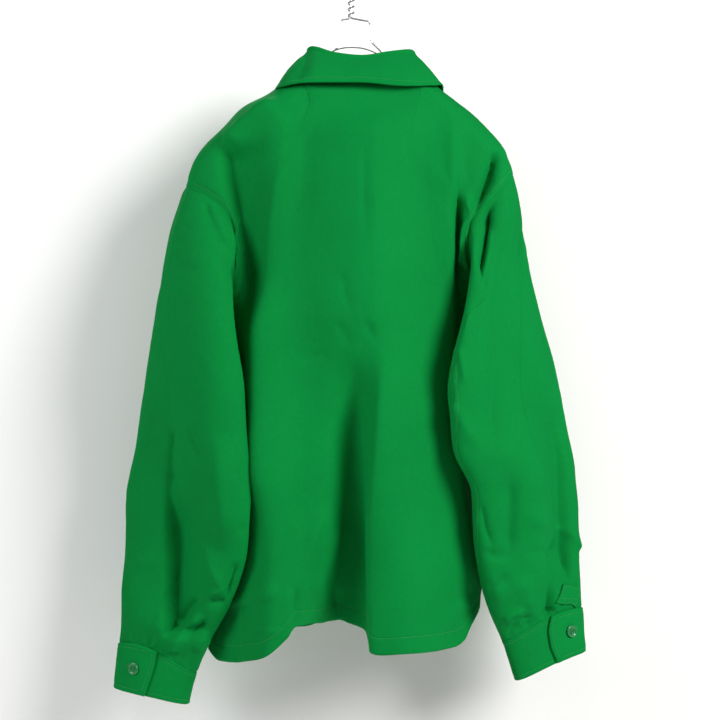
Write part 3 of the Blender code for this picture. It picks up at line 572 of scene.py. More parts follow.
def ring(left, angle, row):
    """A sleeve section at a row of the table, where rows between two are worked out from both."""
    rows = np.asarray(RINGS_L if left else RINGS_R, float)
    at = through(np.arange(len(rows)), rows, row)
    inner, outer, thick, drawn_up = at[..., :3], at[..., 3:6], at[..., 6:7], at[..., 7]
    along = (inner - outer) / 2
    flat = unit(np.stack([-along[..., 1], along[..., 0], np.zeros_like(row)], axis=-1))
    flat = flat * (1 if left else -1)
    turn = np.radians(angle - 90)[..., None]
    lift = np.zeros(np.broadcast(angle, row).shape)
    for a0, r0, a1, r1, half, high in FOLDS_SLEEVE_L if left else FOLDS_SLEEVE_R:
        there = lerp(a0, a1, (row - r0) / (r1 - r0))
        away = (angle - there + 180) % 360 - 180
        ends = ease((row - r0 + 0.6) / 1.2) * ease((r1 + 0.6 - row) / 1.2)
        lift = lift + high * np.exp(-((away / half) ** 2)) * ends
    out = unit(along) * np.cos(turn) + flat * np.sin(turn)
    middle = (inner + outer) / 2
    middle[..., 2] += drawn_up * (0.5 - 0.5 * np.sin(turn[..., 0])) ** 4
    return middle + along * np.cos(turn) + flat * thick * np.sin(turn) + out * lift[..., None]


def sleeve(left, angle, t):
    """The sleeve: t from 0 at the armhole to 1 at the first section, then up to SLEEVE_ENDS + 1."""
    angle, t = np.broadcast_arrays(np.asarray(angle, float), np.asarray(t, float))
    angle = angle % 360
    start = armhole(left, angle)
    first = ring(left, angle, np.zeros_like(t))
    onward = ring(left, angle, np.full_like(t, 0.5)) - first
    leaves = np.asarray(LEAVES)
    way = between(leaves[:, 0], leaves[:, 1:], angle) * (1, 1, -1)
    way[..., 0] *= 1 if left else -lerp(TIP_R, 1, np.sin(np.radians(angle) / 2) ** 2)
    far = np.linalg.norm(first - start, axis=-1, keepdims=True)
    way = unit(way) * far * CAP_PULLS[0]
    onward = unit(onward) * far * CAP_PULLS[1]
    u = np.clip(t, 0, 1)[..., None]
    cap = start * (1 + 2 * u) * (1 - u) ** 2 + first * u * u * (3 - 2 * u)
    cap = cap + way * u * (1 - u) ** 2 - onward * u * u * (1 - u)
    u = u[..., 0]
    full = CAP_FULLNESS * np.cos(np.radians(angle - CAP_FULL_AT) / 2) ** 4 * u**3 * (1 - u) ** 2 / CAP_PEAK
    cap[..., 0] += full if left else -full
    return np.where((t < 1)[..., None], cap, ring(left, angle, np.clip(t - 1, 0, SLEEVE_ENDS)))


def collar(angle, w):
    """The collar: w from 0 at the neck seam over the fold at 0.5 to 1 at the outer edge."""
    angle, w = np.broadcast_arrays(np.asarray(angle, float), np.asarray(w, float))
    rows = np.asarray(COLLAR, float)
    line = through(rows[:, 0], rows[:, 1:], angle)
    fold, edge = line[..., :3], line[..., 3:]
    out = unit((edge - fold) * (1, 1, 0))
    seam = np.stack(neck(angle), axis=-1) + (0, 0, COLLAR_CLEAR)
    rolls, rolled = COLLAR_FOLD
    turn = np.clip((w - rolls) / (rolled - rolls), 0, 1) * math.pi
    top = fold - out * FOLD_R * np.cos(turn)[..., None]
    top[..., 2] += FOLD_R * (np.sin(turn) - 1)
    stand = lerp(seam, top, np.clip(w / rolls, 0, 1)[..., None])
    down = np.clip((w - rolled) / (1 - rolled), 0, 1)[..., None]
    bulge = 1 + 6 * np.cos(np.radians(angle)) ** 2 + 2.5 * ease(angle / 90)
    bulge = bulge + 15 * ease((np.abs(angle) - 90) / 35)
    fall = lerp(top, edge, down) + out * bulge[..., None] * np.sin(down * math.pi)
    return np.where((w < rolls)[..., None], stand, np.where((w > rolled)[..., None], fall, top))


def seam_shift(v):
    """Draws back and front apart in depth by a seam's gap, a little more below the arms."""
    shift = np.zeros((*v.shape, 3))
    shift[..., 1] = np.interp(v, (UNDERARM_L - 0.05, UNDERARM_L + 0.01), (SIDE_SHIFT, SHOULDER_SHIFT))
    return shift


def outward(left, angle, t):
    """The direction away from the middle of the wrist, at a point of the sleeve's end."""
    return unit(ring(left, angle, t) - ring(left, angle + 180, t))


# ---------------------------------------------------------------- cloth surfaces


def normals(points, closed):
    """Unit normals of a grid of points, round in its first direction where closed."""
    if closed:
        across = np.roll(points, -1, axis=0) - np.roll(points, 1, axis=0)
    else:
        across = np.gradient(points, axis=0)
    n = np.cross(across, np.gradient(points, axis=1))
    return n / np.maximum(np.linalg.norm(n, axis=-1, keepdims=True), 1e-9)


def outward_normals(points, closed, like):
    """Normals on the side that a direction, or a grid of them, points to."""
    n = normals(points, closed)
    return n * np.sign((n * like).sum(-1).mean())


def picture(points):
    """Where points show in the camera's view: steps across and down from its top left corner."""
    far = PITCH * (CAMERA[1] - points[..., 1]) / (CAMERA[1] - PLANE_Y)
    across, down = (points[..., 0] - CAMERA[0]) / far, (points[..., 2] - CAMERA[2]) / far
    return HALF_VIEW - across, HALF_VIEW - down


def uneven(x, y, size, seed):
    """Smooth random hills between -1 and 1, about one size apart."""
    x, y = np.asarray(x) / size + 1000, np.asarray(y) / size + 1000
    i, j = np.floor(x).astype(np.int64), np.floor(y).astype(np.int64)
    fx, fy = ease(x - i), ease(y - j)

    def at(di, dj):
        # The height at a corner of the grid, hashed from its place.
        n = (i + di) * 374761393 + (j + dj) * 668265263 + seed * 1274126177
        n = (n ^ (n >> 13)) * 1274126177 & 0x7FFFFFFF
        return ((n ^ (n >> 16)) & 0xFFFF) / 32767.5 - 1

    return lerp(lerp(at(0, 0), at(1, 0), fx), lerp(at(0, 1), at(1, 1), fx), fy)


def creases(rows, x, y):
    """Height of creases at x, y of the picture, in millimetres."""
    total = np.zeros(np.shape(x))
    for row in rows:
        add_crease(total, x, y, *row)
    return total * PITCH


def add_crease(total, x, y, line, before, beyond, high, crisp=1.6, start=0.3, end=0.3):
    """Adds one crease to the heights: its line's points, half width before and beyond it, height,
    crispness, and the shares of its length over which its ends fade."""
    knots = np.asarray(line, float)
    spans = len(knots) - 1
    path = through(np.arange(spans + 1), knots, np.linspace(0, spans, 8 * spans + 1))
    reach = 3.2 * max(before, beyond)
    near = (x > path[:, 0].min() - reach) & (x < path[:, 0].max() + reach)
    near &= (y > path[:, 1].min() - reach) & (y < path[:, 1].max() + reach)
    if not near.any():
        return
    here = np.stack([x[near], y[near]], axis=-1)
    best = np.full(len(here), np.inf)
    side, along = np.zeros(len(here)), np.zeros(len(here))
    run = lengths(path)
    for k, step in enumerate(np.diff(run)):
        seg = path[k + 1] - path[k]
        off = here - path[k]
        u = np.clip(off @ seg / step**2, 0, 1)
        far = np.linalg.norm(off - u[:, None] * seg, axis=1)
        closer = far < best
        best = np.where(closer, far, best)
        side = np.where(closer, off[:, 0] * seg[1] - off[:, 1] * seg[0], side)
        along = np.where(closer, (run[k] + u * step) / run[-1], along)
    wide = np.where(side < 0, before, beyond)
    fade = (ease(along / start) if start else 1) * (ease((1 - along) / end) if end else 1)
    total[near] += high * np.exp(-((best / wide) ** crisp)) * fade


def shell(node, grid, wall, paint, like, closed=False):
    """The cloth piece for a CAD node: both faces of a wall on a grid, its rims rolled.
    Returns it, and the grid with its normals and wall, for the stitches on it."""
    out = outward_normals(grid, closed, like)
    m, n = grid.shape[:2]
    half = wall / 2

    def beyond(edge, inner):
        return edge + unit(edge - inner) * half * RIM

    top, foot = beyond(grid[:, -1], grid[:, -2]), beyond(grid[:, 0], grid[:, 1])
    loops = np.concatenate(
        [grid + out * half, top[:, None], (grid - out * half)[:, ::-1], foot[:, None]], axis=1
    )
    around, along = lengths(grid, 0).mean(1), lengths(grid, 1).mean(0)
    flat = np.stack(np.broadcast_arrays(around[:, None], along), -1)
    flat = np.concatenate([flat, flat[:, -1:], flat[:, ::-1], flat[:, :1]], axis=1)
    k = loops.shape[1]
    points, flats = loops.reshape(-1, 3), flat.reshape(-1, 2)
    index = np.arange(m * k).reshape(m, k)
    if not closed:
        for a, b in ((0, 1), (m - 1, m - 2)):
            side = beyond(grid[a], grid[b])
            ends = np.stack([beyond(side[-1], side[-2]), beyond(side[0], side[1])])
            row = np.arange(n) + len(points)
            ring_row = np.concatenate([row, row[-1:] + 1, row[::-1], row[-1:] + 2])
            index = np.vstack([index, ring_row] if a else [ring_row, index])
            points = np.concatenate([points, side, ends])
            flats = np.concatenate([flats, flat[a, :n], flat[a, [n - 1, 0]]])
    after = np.roll(index, -1, axis=0) if closed else index[1:]
    before = index if closed else index[:-1]
    corners = (before, after, np.roll(after, -1, axis=1), np.roll(before, -1, axis=1))
    faces = np.stack(corners, axis=-1).reshape(-1, 4)
    p, q, r, t = (points[faces[:, c]] for c in range(4))
    if (p * np.cross(q, r)).sum() + (p * np.cross(r, t)).sum() < 0:
        faces = faces[:, ::-1]
    made = new_piece("cloth_" + node, points, faces.tolist(), paint)
    layer = made.data.uv_layers.new(name="weave")
    layer.data.foreach_set("uv", (flats[faces.ravel()] * MM).astype(np.float32).ravel())
    return settle(made, node), (grid, out, wall)


def add_object(name, data):
    made = bpy.data.objects.new(name, data)
    bpy.context.scene.collection.objects.link(made)
    return made


def new_piece(name, points, faces, paint, rounded=True):
    """An object from points in millimetres."""
    mesh = bpy.data.meshes.new(name)
    mesh.from_pydata((np.asarray(points) * MM).tolist(), [], faces)
    if rounded:
        mesh.shade_smooth()
    mesh.materials.append(paint)
    return add_object(name, mesh)


def settle(made, replaces=None):
    """Gives a piece its CAD body, and hides the CAD node that it replaces, if one is given."""
    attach(made, "root")
    if replaces:
        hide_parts(replaces)
    return made


def barrel(rings, sides, start=0):
    """Faces over a stack of rings of points that are numbered from start, capped at both ends."""
    last = start + (rings - 1) * sides
    faces = [tuple(range(start, start + sides))[::-1], tuple(range(last, last + sides))]
    for row in range(start, last, sides):
        for k in range(sides):
            beside = (k + 1) % sides
            faces.append((row + k, row + beside, row + sides + beside, row + sides + k))
    return faces


# ---------------------------------------------------------------- materials


class Paint:
    """A material under construction: its nodes are added one by one."""

    def __init__(self, name):
        self.made = bpy.data.materials.new(name)
        self.made.use_nodes = True
        self.tree = self.made.node_tree
        self.shader = self.tree.nodes["Principled BSDF"]

    def node(self, kind, inputs=(), **settings):
        made = self.tree.nodes.new("ShaderNode" + kind)
        for key, value in settings.items():
            setattr(made, key, value)
        for key, value in dict(inputs).items():
            self.put(made.inputs[key], value)
        return made

    def put(self, socket, value):
        if isinstance(value, bpy.types.NodeSocket):
            self.tree.links.new(value, socket)
        else:
            socket.default_value = value

    def fix(self, **values):
        for key, value in values.items():
            self.put(self.shader.inputs[key.replace("_", " ")], value)
        return self.made

    def place(self, where="UV"):
        return self.node("TexCoord").outputs[where]

    def noise(self, where, scale, detail=2.0, rough=0.5):
        inputs = {"Vector": where, "Scale": scale, "Detail": detail, "Roughness": rough}
        return self.node("TexNoise", inputs).outputs["Fac"]

    def bands(self, where, spacing, way, wander=()):
        """Straight ribs, one after another along X, Y or the DIAGONAL."""
        inputs = {"Vector": where, "Scale": WAVE_UNIT / spacing, **dict(wander)}
        made = self.node("TexWave", inputs, wave_type="BANDS", bands_direction=way)
        return made.outputs["Fac"]

    def stretched(self, where, scale):
        return self.node("Mapping", {"Vector": where, "Scale": scale}).outputs["Vector"]

    def sum(self, a, b, c=0.0):
        """a times b, plus c."""
        return self.node("Math", {0: a, 1: b, 2: c}, operation="MULTIPLY_ADD").outputs[0]

    def ramp(self, fac, *stops):
        made = self.node("ValToRGB", {"Fac": fac})
        band = made.color_ramp
        while len(band.elements) < len(stops):
            band.elements.new(0.5)
        for spot, (at, colour) in zip(band.elements, stops):
            spot.position = at
            spot.color = (*colour, 1)
        return made.outputs["Color"]

    def bump(self, height, distance, strength, onto=None):
        inputs = {"Height": height, "Distance": distance, "Strength": strength}
        if onto is not None:
            inputs["Normal"] = onto
        return self.node("Bump", inputs).outputs["Normal"]


def twill(name, light, dark):
    """Cotton twill: ribs WALE apart with their grooves painted a little darker as painted shade, slubbed
    yarns, a soft nap, and dye that took unevenly.
    """
    p = Paint(name)
    at = p.place()
    sway = p.noise(at, 70.0)
    wander = {"Distortion": 1.2, "Detail": 1.0, "Detail Scale": 1.5}
    rib = p.bands(at, WALE * MM * math.sqrt(2), "DIAGONAL", wander)
    yarn = p.noise(p.stretched(at, (2600.0, 420.0, 1.0)), 1.0, 3.0, 0.6)
    patch = p.noise(at, 7.0, 4.0, 0.55)
    mottle = p.noise(at, 190.0, 4.0, 0.7)
    # The rib term darkens the colour in the twill's grooves: painted shade along the weave. Patch, mottle
    # and yarn are the dye's random tone.
    shade = p.sum(patch, 0.55, p.sum(mottle, 0.45, p.sum(rib, 0.10, p.sum(yarn, 0.30, -0.22))))
    middle = tuple((a + b) / 2 for a, b in zip(light, dark))
    p.fix(Base_Color=p.ramp(shade, (0.25, dark), (0.5, middle), (0.78, light)))
    p.fix(Roughness=p.sum(yarn, 0.16, 0.7))
    fibre = p.bump(p.sum(yarn, 0.6, p.sum(mottle, 0.5)), 0.00022, 0.5)
    ribs = p.bump(rib, 0.00016, 0.45, fibre)
    p.fix(Normal=p.bump(sway, 0.0012, 0.35, ribs))
    p.fix(Sheen_Weight=0.1, Sheen_Roughness=0.45, Sheen_Tint=(0.02, 0.9, 0.3, 1.0))
    return p.fix(Specular_IOR_Level=0.05)


def thread(name, light, dark):
    """Twisted sewing thread."""
    p = Paint(name)
    at = p.place("Object")
    twist = p.noise(at, 2600.0)
    along = p.noise(at, 160.0)
    p.fix(Base_Color=p.ramp(p.sum(twist, 0.6, p.sum(along, 0.4)), (0.3, dark), (0.7, light)))
    p.fix(Normal=p.bump(twist, 0.0001, 0.5), Roughness=p.sum(twist, 0.2, 0.42))
    return p.fix(Sheen_Weight=0.1)


def resin(name, light, dark):
    """Polished button resin with a clouded body."""
    p = Paint(name)
    at = p.place("Object")
    cloud = p.noise(at, 260.0, 4.0, 0.6)
    scuff = p.noise(at, 1900.0, 3.0, 0.6)
    p.fix(Base_Color=p.ramp(cloud, (0.3, dark), (0.7, light)))
    p.fix(Roughness=p.sum(scuff, 0.22, 0.12), Normal=p.bump(scuff, 0.00004, 0.3))
    return p.fix(Coat_Weight=0.35, Coat_Roughness=0.12, Specular_IOR_Level=0.55)


def metal(name, light, dark, rough):
    """Drawn or plated metal, a little stained and scratched."""
    p = Paint(name)
    at = p.place("Object")
    stain = p.noise(at, 55.0, 5.0, 0.65)
    scratch = p.noise(p.stretched(at, (900.0, 900.0, 160.0)), 1.0, 3.0)
    p.fix(Base_Color=p.ramp(stain, (0.3, dark), (0.65, light)))
    p.fix(Roughness=p.sum(scratch, 0.25, rough - 0.1), Normal=p.bump(scratch, 0.00003, 0.25))
    return p.fix(Metallic=1.0)


def tape_weave(name, light, dark):
    """Close woven zip tape: fine lengthwise ribs crossed by the weft."""
    p = Paint(name)
    at = p.place()
    rib, weft = p.bands(at, 0.0011, "X"), p.bands(at, 0.0007, "Y")
    speck = p.noise(at, 900.0, 3.0)
    high = p.sum(rib, 0.6, p.sum(weft, 0.4))
    p.fix(Base_Color=p.ramp(p.sum(high, 0.4, p.sum(speck, 0.6)), (0.25, dark), (0.75, light)))
    return p.fix(Normal=p.bump(high, 0.0002, 0.6), Roughness=p.sum(speck, 0.2, 0.65))


def moulded(name, light, dark):
    """Moulded zip teeth."""
    p = Paint(name)
    speck = p.noise(p.place("Object"), 420.0, 3.0)
    p.fix(Base_Color=p.ramp(speck, (0.3, dark), (0.7, light)))
    return p.fix(Roughness=p.sum(speck, 0.2, 0.28), Normal=p.bump(speck, 0.00005, 0.3))


def plaster(name, colour, one_sided=False):
    """The pale studio floor and backdrop."""
    p = Paint(name)
    speck = p.noise(p.place("Object"), 14.0, 6.0, 0.6)
    p.fix(Base_Color=p.ramp(speck, (0.2, tuple(c * 0.985 for c in colour)), (0.8, colour)))
    p.fix(Roughness=0.9, Specular_IOR_Level=0.1)
    if one_sided:
        # Seen from behind, it isn't there.
        end = p.tree.nodes["Material Output"]
        clear = p.node("BsdfTransparent").outputs[0]
        back = p.node("NewGeometry").outputs["Backfacing"]
        mixed = p.node("MixShader", {0: back, 1: p.shader.outputs[0], 2: clear})
        p.tree.links.new(mixed.outputs[0], end.inputs["Surface"])
    return p.made


# ---------------------------------------------------------------- pieces


def inset(cloth, side, far, low, high):
    """A line on a piece's outer face, a distance in from one of its sides: points and normals."""
    grid, out, wall = cloth
    both = np.concatenate([grid + out * wall / 2, out], axis=-1)
    if side in ("first", "last"):
        both = both.transpose(1, 0, 2)
    if side in ("top", "last"):
        both = both[:, ::-1]
    n = len(both)
    both = both[round(low * (n - 1)):round(high * (n - 1)) + 1]
    line = np.array([between(run, row, far) for run, row in zip(lengths(both[..., :3], 1), both)])
    return line[:, :3], line[:, 3:]


def traced(cloth, i, j):
    """The line through fractional grid places i, j: points on the outer face and normals."""
    grid, out, wall = cloth
    both = np.concatenate([grid + out * wall / 2, out], axis=-1)
    m, n = both.shape[:2]
    i, j = np.asarray(i, float) % m, np.clip(j, 0, n - 1.001)
    i0, j0 = i.astype(int), j.astype(int)
    i1, fi, fj = (i0 + 1) % m, (i - i0)[:, None], (j - j0)[:, None]
    line = lerp(lerp(both[i0, j0], both[i1, j0], fi), lerp(both[i0, j0 + 1], both[i1, j0 + 1], fi), fj)
    return line[:, :3], line[:, 3:]


def sew(name, lines, paint, pitch=2.8, thick=THREAD_R, fill=0.72):
    """Machine stitches along lines on the cloth, each end dipping into it."""
    turn = np.arange(STITCH_SIDES) * TWO_PI / STITCH_SIDES
    wheel = np.stack([np.cos(turn), np.sin(turn)], axis=-1)
    rings = len(STITCH_PLACES)
    points, faces = [], []
    for line, out in lines:
        run = lengths(line)
        count = max(1, int(run[-1] / pitch))
        at = (np.arange(count)[:, None] + 0.5 + STITCH_PLACES * fill) * run[-1] / count
        spot, up = between(run, line, at), between(run, out, at)
        across = unit(np.cross(spot[:, -1:] - spot[:, :1], up))
        centre = spot + up * (STITCH_HEIGHTS * thick / THREAD_R)[:, None]
        spoke = across[:, :, None] * wheel[:, :1] + up[:, :, None] * wheel[:, 1:]
        start = sum(map(len, points))
        points.append((centre[:, :, None] + spoke * (STITCH_RADII * thick)[:, None, None]).reshape(-1, 3))
        for k in range(count):
            faces += barrel(rings, STITCH_SIDES, start + k * rings * STITCH_SIDES)
    return settle(new_piece(name, np.concatenate(points), faces, paint))


def seam_line(run, far, wide, deep):
    """The dent that a row of stitches pulls into the cloth."""
    return -deep * np.exp(-(((run - far) / wide) ** 2))


def pucker(along, run, far, wide, high, seed):
    """Small uneven gathers beside a row of stitches."""
    wave = uneven(along, run * 0.25, 7.5, seed) + 0.5 * uneven(along, run * 0.3, 3.6, seed + 1)
    return high * np.exp(-(((run - far) / wide) ** 2)) * wave


def rumple(x, y, seed):
    """The cloth's own unevenness, from soft undulation to small crumples."""
    soft = 0.9 * uneven(x, y, 58, seed) + 0.45 * uneven(x, y, 27, seed + 1)
    slant = uneven(x + 0.6 * y, y * 0.5 - x * 0.3, 15, seed + 2)
    return soft + 0.16 * slant + 0.07 * uneven(x, y, 6.5, seed + 3)


def panel(front, columns, seed):
    """Back or front with its hem, creases and stitch dents."""
    s, v = np.meshgrid(columns, PANEL_ROWS, indexing="ij")
    way = -1.0 if front else 1.0
    grid = body(s, v, front) + seam_shift(v) * way
    out = outward_normals(grid, False, (0, way, 0))
    across, beyond, up, top = measures(grid)
    edge = np.minimum(across, beyond)
    high = creases(CREASES_FRONT if front else CREASES_BACK, *picture(grid))
    high = high + rumple(across + 37 * seed, up, seed)
    hem = seam_line(up, HEM, 1.1, 0.3) + 0.35 * (1 - ease((up - HEM + 6) / 6))
    hem = hem + pucker(across, up, HEM, 9, 0.55, seed + 7)
    if front:
        dents = seam_line(across, FELL, 1.0, 0.45)
        dents = dents + pucker(up, across, FELL, 8, 0.4, seed + 9) * ease(across / 5)
    else:
        dents = seam_line(edge, FELL, 1.0, 0.35) * ease(top / 30)
    free = ease(edge / 14) * ease(top / 10)
    return grid + out * (high * free + hem * ease(edge / 3) + dents * ease(top / 10))[..., None]


def make_panels():
    """The back and the two fronts, with their topstitching."""
    half = np.concatenate([np.linspace(ZIP_S, NECK_S, 32), np.linspace(NECK_S, EDGE_S, 46)[1:]])
    full = np.concatenate([
        np.linspace(-EDGE_S, -NECK_S, 66),
        np.linspace(-NECK_S, NECK_S, 92)[1:-1],
        np.linspace(NECK_S, EDGE_S, 66),
    ])
    cuts = (
        ("back", full, False, 11, (0.49, 0.70), 0.315),
        ("front_left", half, True, 23, (0.235, 0.68), 0.143),
        ("front_right", -half, True, 31, (0.235, 0.68), 0.138),
    )
    for node, columns, front, seed, flat, area in cuts:
        grid = panel(front, columns, seed)
        like = (0, -1.0, 0) if front else (0, 1.0, 0)
        made, cloth = shell(node, grid, WALL, TWILL, like)
        lines = [inset(cloth, "bottom", HEM, 0.01, 0.99)]
        lines += [inset(cloth, end, FELL, 0.03, 0.97) for end in ("first", "last")]
        stitches = sew("stitches_" + node, lines, THREAD)


def even_angles(left, count, start=0.0, end=360.0):
    """Angles round a sleeve that stand about evenly along its cloth. A whole turn leaves out its end."""
    fine = np.linspace(start, end, 1441)
    run = lengths(sleeve(left, fine, np.full(fine.shape, 3.0)))
    run = run / run[-1] * 0.8 + (fine - start) / (end - start) * 0.2
    return np.interp(np.linspace(0, 1, count, endpoint=end - start < 360), run, fine)


def make_sleeve(side, left, seed):
    """A sleeve with its felled seam under the arm, its creases and the gathers at its cuff."""
    angles = even_angles(left, 210)
    rows = np.concatenate([np.linspace(0, 1, 92)[:-1], np.linspace(1, SLEEVE_ENDS + 1, 128)])
    grid = sleeve(left, *np.meshgrid(angles, rows, indexing="ij"))
    for row, beside, gap in ((0, 1, ARMHOLE_GAP), (-1, -2, CUFF_GAP)):
        inward = unit(grid[:, beside] - grid[:, row])
        drawn = 1 - np.clip(np.abs(rows - rows[row]) / 0.02, 0, 1)
        grid += inward[:, None] * (gap * drawn)[:, None]
    out = outward_normals(grid, True, grid - grid.mean(0))
    seen, hid = ease((out[..., 1] + 0.15) / 0.5), ease((0.15 - out[..., 1]) / 0.5)
    behind, before = (creases(table, *picture(grid)) for table in CREASES_SLEEVES[left])
    around, _, along, to_cuff = measures(grid)
    loop = around[-1:] + np.linalg.norm(grid[:1] - grid[-1:], axis=-1)
    turn = around / loop * TWO_PI
    high = behind * seen + before * hid
    high = high + rumple(along + 60 * np.sin(turn), along * 0.4 + 60 * np.cos(turn) + 400, seed)
    gathers = 0.8 * np.sin(turn * 13 + 1.5 * np.sin(turn * 3)) + 0.5 * np.sin(turn * 22)
    high = high + gathers * np.exp(-to_cuff / 16)
    seam = np.interp(rows, *zip(*(SEAM_L if left else SEAM_R)))
    whole = np.append(angles, 360)
    seam_at = [np.interp(a, whole, np.append(around[:, j], loop[0, j])) for j, a in enumerate(seam)]
    off = around - np.array(seam_at)
    fell = 0.55 * np.exp(-((off / 3.6) ** 4)) + pucker(along, off, 0, 9, 0.45, seed + 5)
    fell = fell + seam_line(off, -SLEEVE_FELL, 0.9, 0.5) + seam_line(off, SLEEVE_FELL, 0.9, 0.5)
    ends = ease(along / 12) * ease(to_cuff / 5)
    grid = grid + out * (high * ends + fell * ease(along / 8) * ease(to_cuff / 3))[..., None]
    made, cloth = shell("sleeve_" + side, grid, WALL, TWILL, grid - grid.mean(0), closed=True)
    j = np.arange(2, len(rows) - 2)
    lines = []
    for shift in (-SLEEVE_FELL, SLEEVE_FELL):
        i = [np.interp(seam_at[k] + shift, around[:, k], np.arange(len(angles))) for k in j]
        lines.append(traced(cloth, i, j))
    stitches = sew("stitches_sleeve_" + side, lines, THREAD)


def lap_end(left, angle, t):
    """Stretches a cuff's last angles to where its button end stops, from top to foot."""
    end = np.interp(t, np.linspace(0, 1, 4), LAP_ENDS_L if left else LAP_ENDS_R)
    stretch = (end + 360 - LAP_FROM) / (LAP_LAST - LAP_FROM)
    return np.where(angle > LAP_FROM, LAP_FROM + (angle - LAP_FROM) * stretch, angle)


def make_cuff(side, left, seed):
    """The band with its edge stitching. Returns it and the angle at each of its columns."""
    columns = np.concatenate([np.linspace(LAP_FOOT, 0, 16)[:-1], even_angles(left, 92, 0, LAP_LAST)])
    angle, t = np.meshgrid(columns, np.linspace(0, 1, 24), indexing="ij")
    lap = np.interp(angle, (LAP_FOOT, 250, 325, 360), (0, 0, CUFF_LAP, CUFF_LAP))
    angle = lap_end(left, angle, t)
    t = t + SLEEVE_ENDS
    push = (CUFF_WALL - WALL) / 2 + lap
    grid = ring(left, angle, t) + outward(left, angle, t) * push[..., None]
    out = outward_normals(grid, False, grid - grid.mean(0))
    around, to_lap, up, to_top = measures(grid)
    edges = np.minimum.reduce([up, to_top, to_lap])
    high = 0.5 * uneven(around, up, 26, seed) + 0.18 * uneven(around, up, 9, seed + 1)
    high = high * ease(edges / 6) + seam_line(edges, CUFF_STITCH, 1.0, 0.4)
    high = high + pucker(around, up, CUFF_STITCH, 6, 0.22, seed + 2)
    grid = grid + out * high[..., None]
    made, cloth = shell("cuff_" + side, grid, CUFF_WALL, TWILL, grid - grid.mean(0))
    lines = [inset(cloth, edge, CUFF_STITCH, 0.02, 0.975) for edge in ("bottom", "top")]
    lines.append(inset(cloth, "last", CUFF_STITCH, 0.1, 0.9))
    seams = [sew("stitches_cuff_" + side, lines, THREAD)]
    return cloth, angle[:, angle.shape[1] // 2]


def make_collar():
    """The collar with its edge stitching."""
    rolls, rolled = COLLAR_FOLD
    rows = np.concatenate([
        np.linspace(0, rolls, 14)[:-1],
        np.linspace(rolls, rolled, 12)[:-1],
        np.linspace(rolled, 0.93, 20)[:-1],
        np.linspace(0.93, 1, 8),
    ])
    halves = np.linspace(0, 171, 103)
    angle, w = np.meshgrid(np.concatenate([-halves[:0:-1], halves]), rows, indexing="ij")
    grid = collar(angle, w)
    facing = outward_normals(grid, False, collar_side(grid, w))
    across, beyond, up, to_edge = measures(grid)
    to_end = np.minimum(across, beyond)
    high = creases(CREASES_COLLAR, *picture(grid))
    high = high * ease((w - 0.5) / 0.15) * ease((100 - np.abs(angle)) / 20)
    waves = 0.7 * uneven(across, up, 40, 71) + 0.25 * uneven(across, up, 14, 72)
    high = high + waves * ease((w - 0.45) / 0.2)
    rim = np.minimum(to_edge, to_end)
    sewn = seam_line(rim, COLLAR_STITCH, 1.0, 0.4) + pucker(across, rim, COLLAR_STITCH, 7, 0.3, 75)
    high = high * ease(to_edge / 8) + sewn * ease((w - rolled) / 0.08)
    grid = grid + facing * (high * ease(to_end / 4))[..., None]
    made, cloth = shell("collar", grid, COLLAR_WALL, TWILL, collar_side(grid, w))
    lines = [inset(cloth, "top", COLLAR_STITCH, 0.015, 0.985)]
    lines += [inset(cloth, end, COLLAR_STITCH, 0.68, 0.965) for end in ("first", "last")]
    seams = [sew("stitches_collar", lines, THREAD)]


def collar_side(grid, w):
    """Which way is out on the collar: away from the neck on the fall, into the neck on the stand."""
    away = grid - np.array([NECK_X, NECK_Y, 0])
    away[..., 2] = 0
    return np.where((w > 0.5)[..., None], away, -away)


def frame_at(origin, right, up):
    """A frame with +X right, +Z up and +Y square to both, at a point in millimetres."""
    right = unit(right)
    ahead = unit(np.cross(up, right))
    place = Matrix(np.stack([right, ahead, np.cross(right, ahead)], axis=1).tolist()).to_4x4()
    place.translation = Vector(origin) * MM
    return place


def turned_disc(name, profile, steps=48):
    """A round solid turned from a half profile."""
    spin = np.arange(steps) * TWO_PI / steps
    points = [(r * math.cos(a), r * math.sin(a), z) for r, z in profile for a in spin]
    return new_piece(name, points, barrel(len(profile), steps), RESIN)


def drills():
    """Round cutters where the button's holes go."""
    shape = bmesh.new()
    for x, y in BUTTON_HOLES:
        bmesh.ops.create_cone(
            shape,
            cap_ends=True,
            segments=20,
            radius1=HOLE_R * MM,
            radius2=HOLE_R * MM,
            depth=10 * MM,
            matrix=Matrix.Translation((x * MM, y * MM, 2 * MM)),
        )
    mesh = bpy.data.meshes.new("drills")
    shape.to_mesh(mesh)
    shape.free()
    return add_object("drills", mesh)


def ease_edges(piece, name, wide, segments, angle):
    """Rounds a piece's sharp edges."""
    bevel = piece.modifiers.new(name, "BEVEL")
    bevel.width = wide * MM
    bevel.segments = segments
    bevel.limit_method = "ANGLE"
    bevel.angle_limit = math.radians(angle)


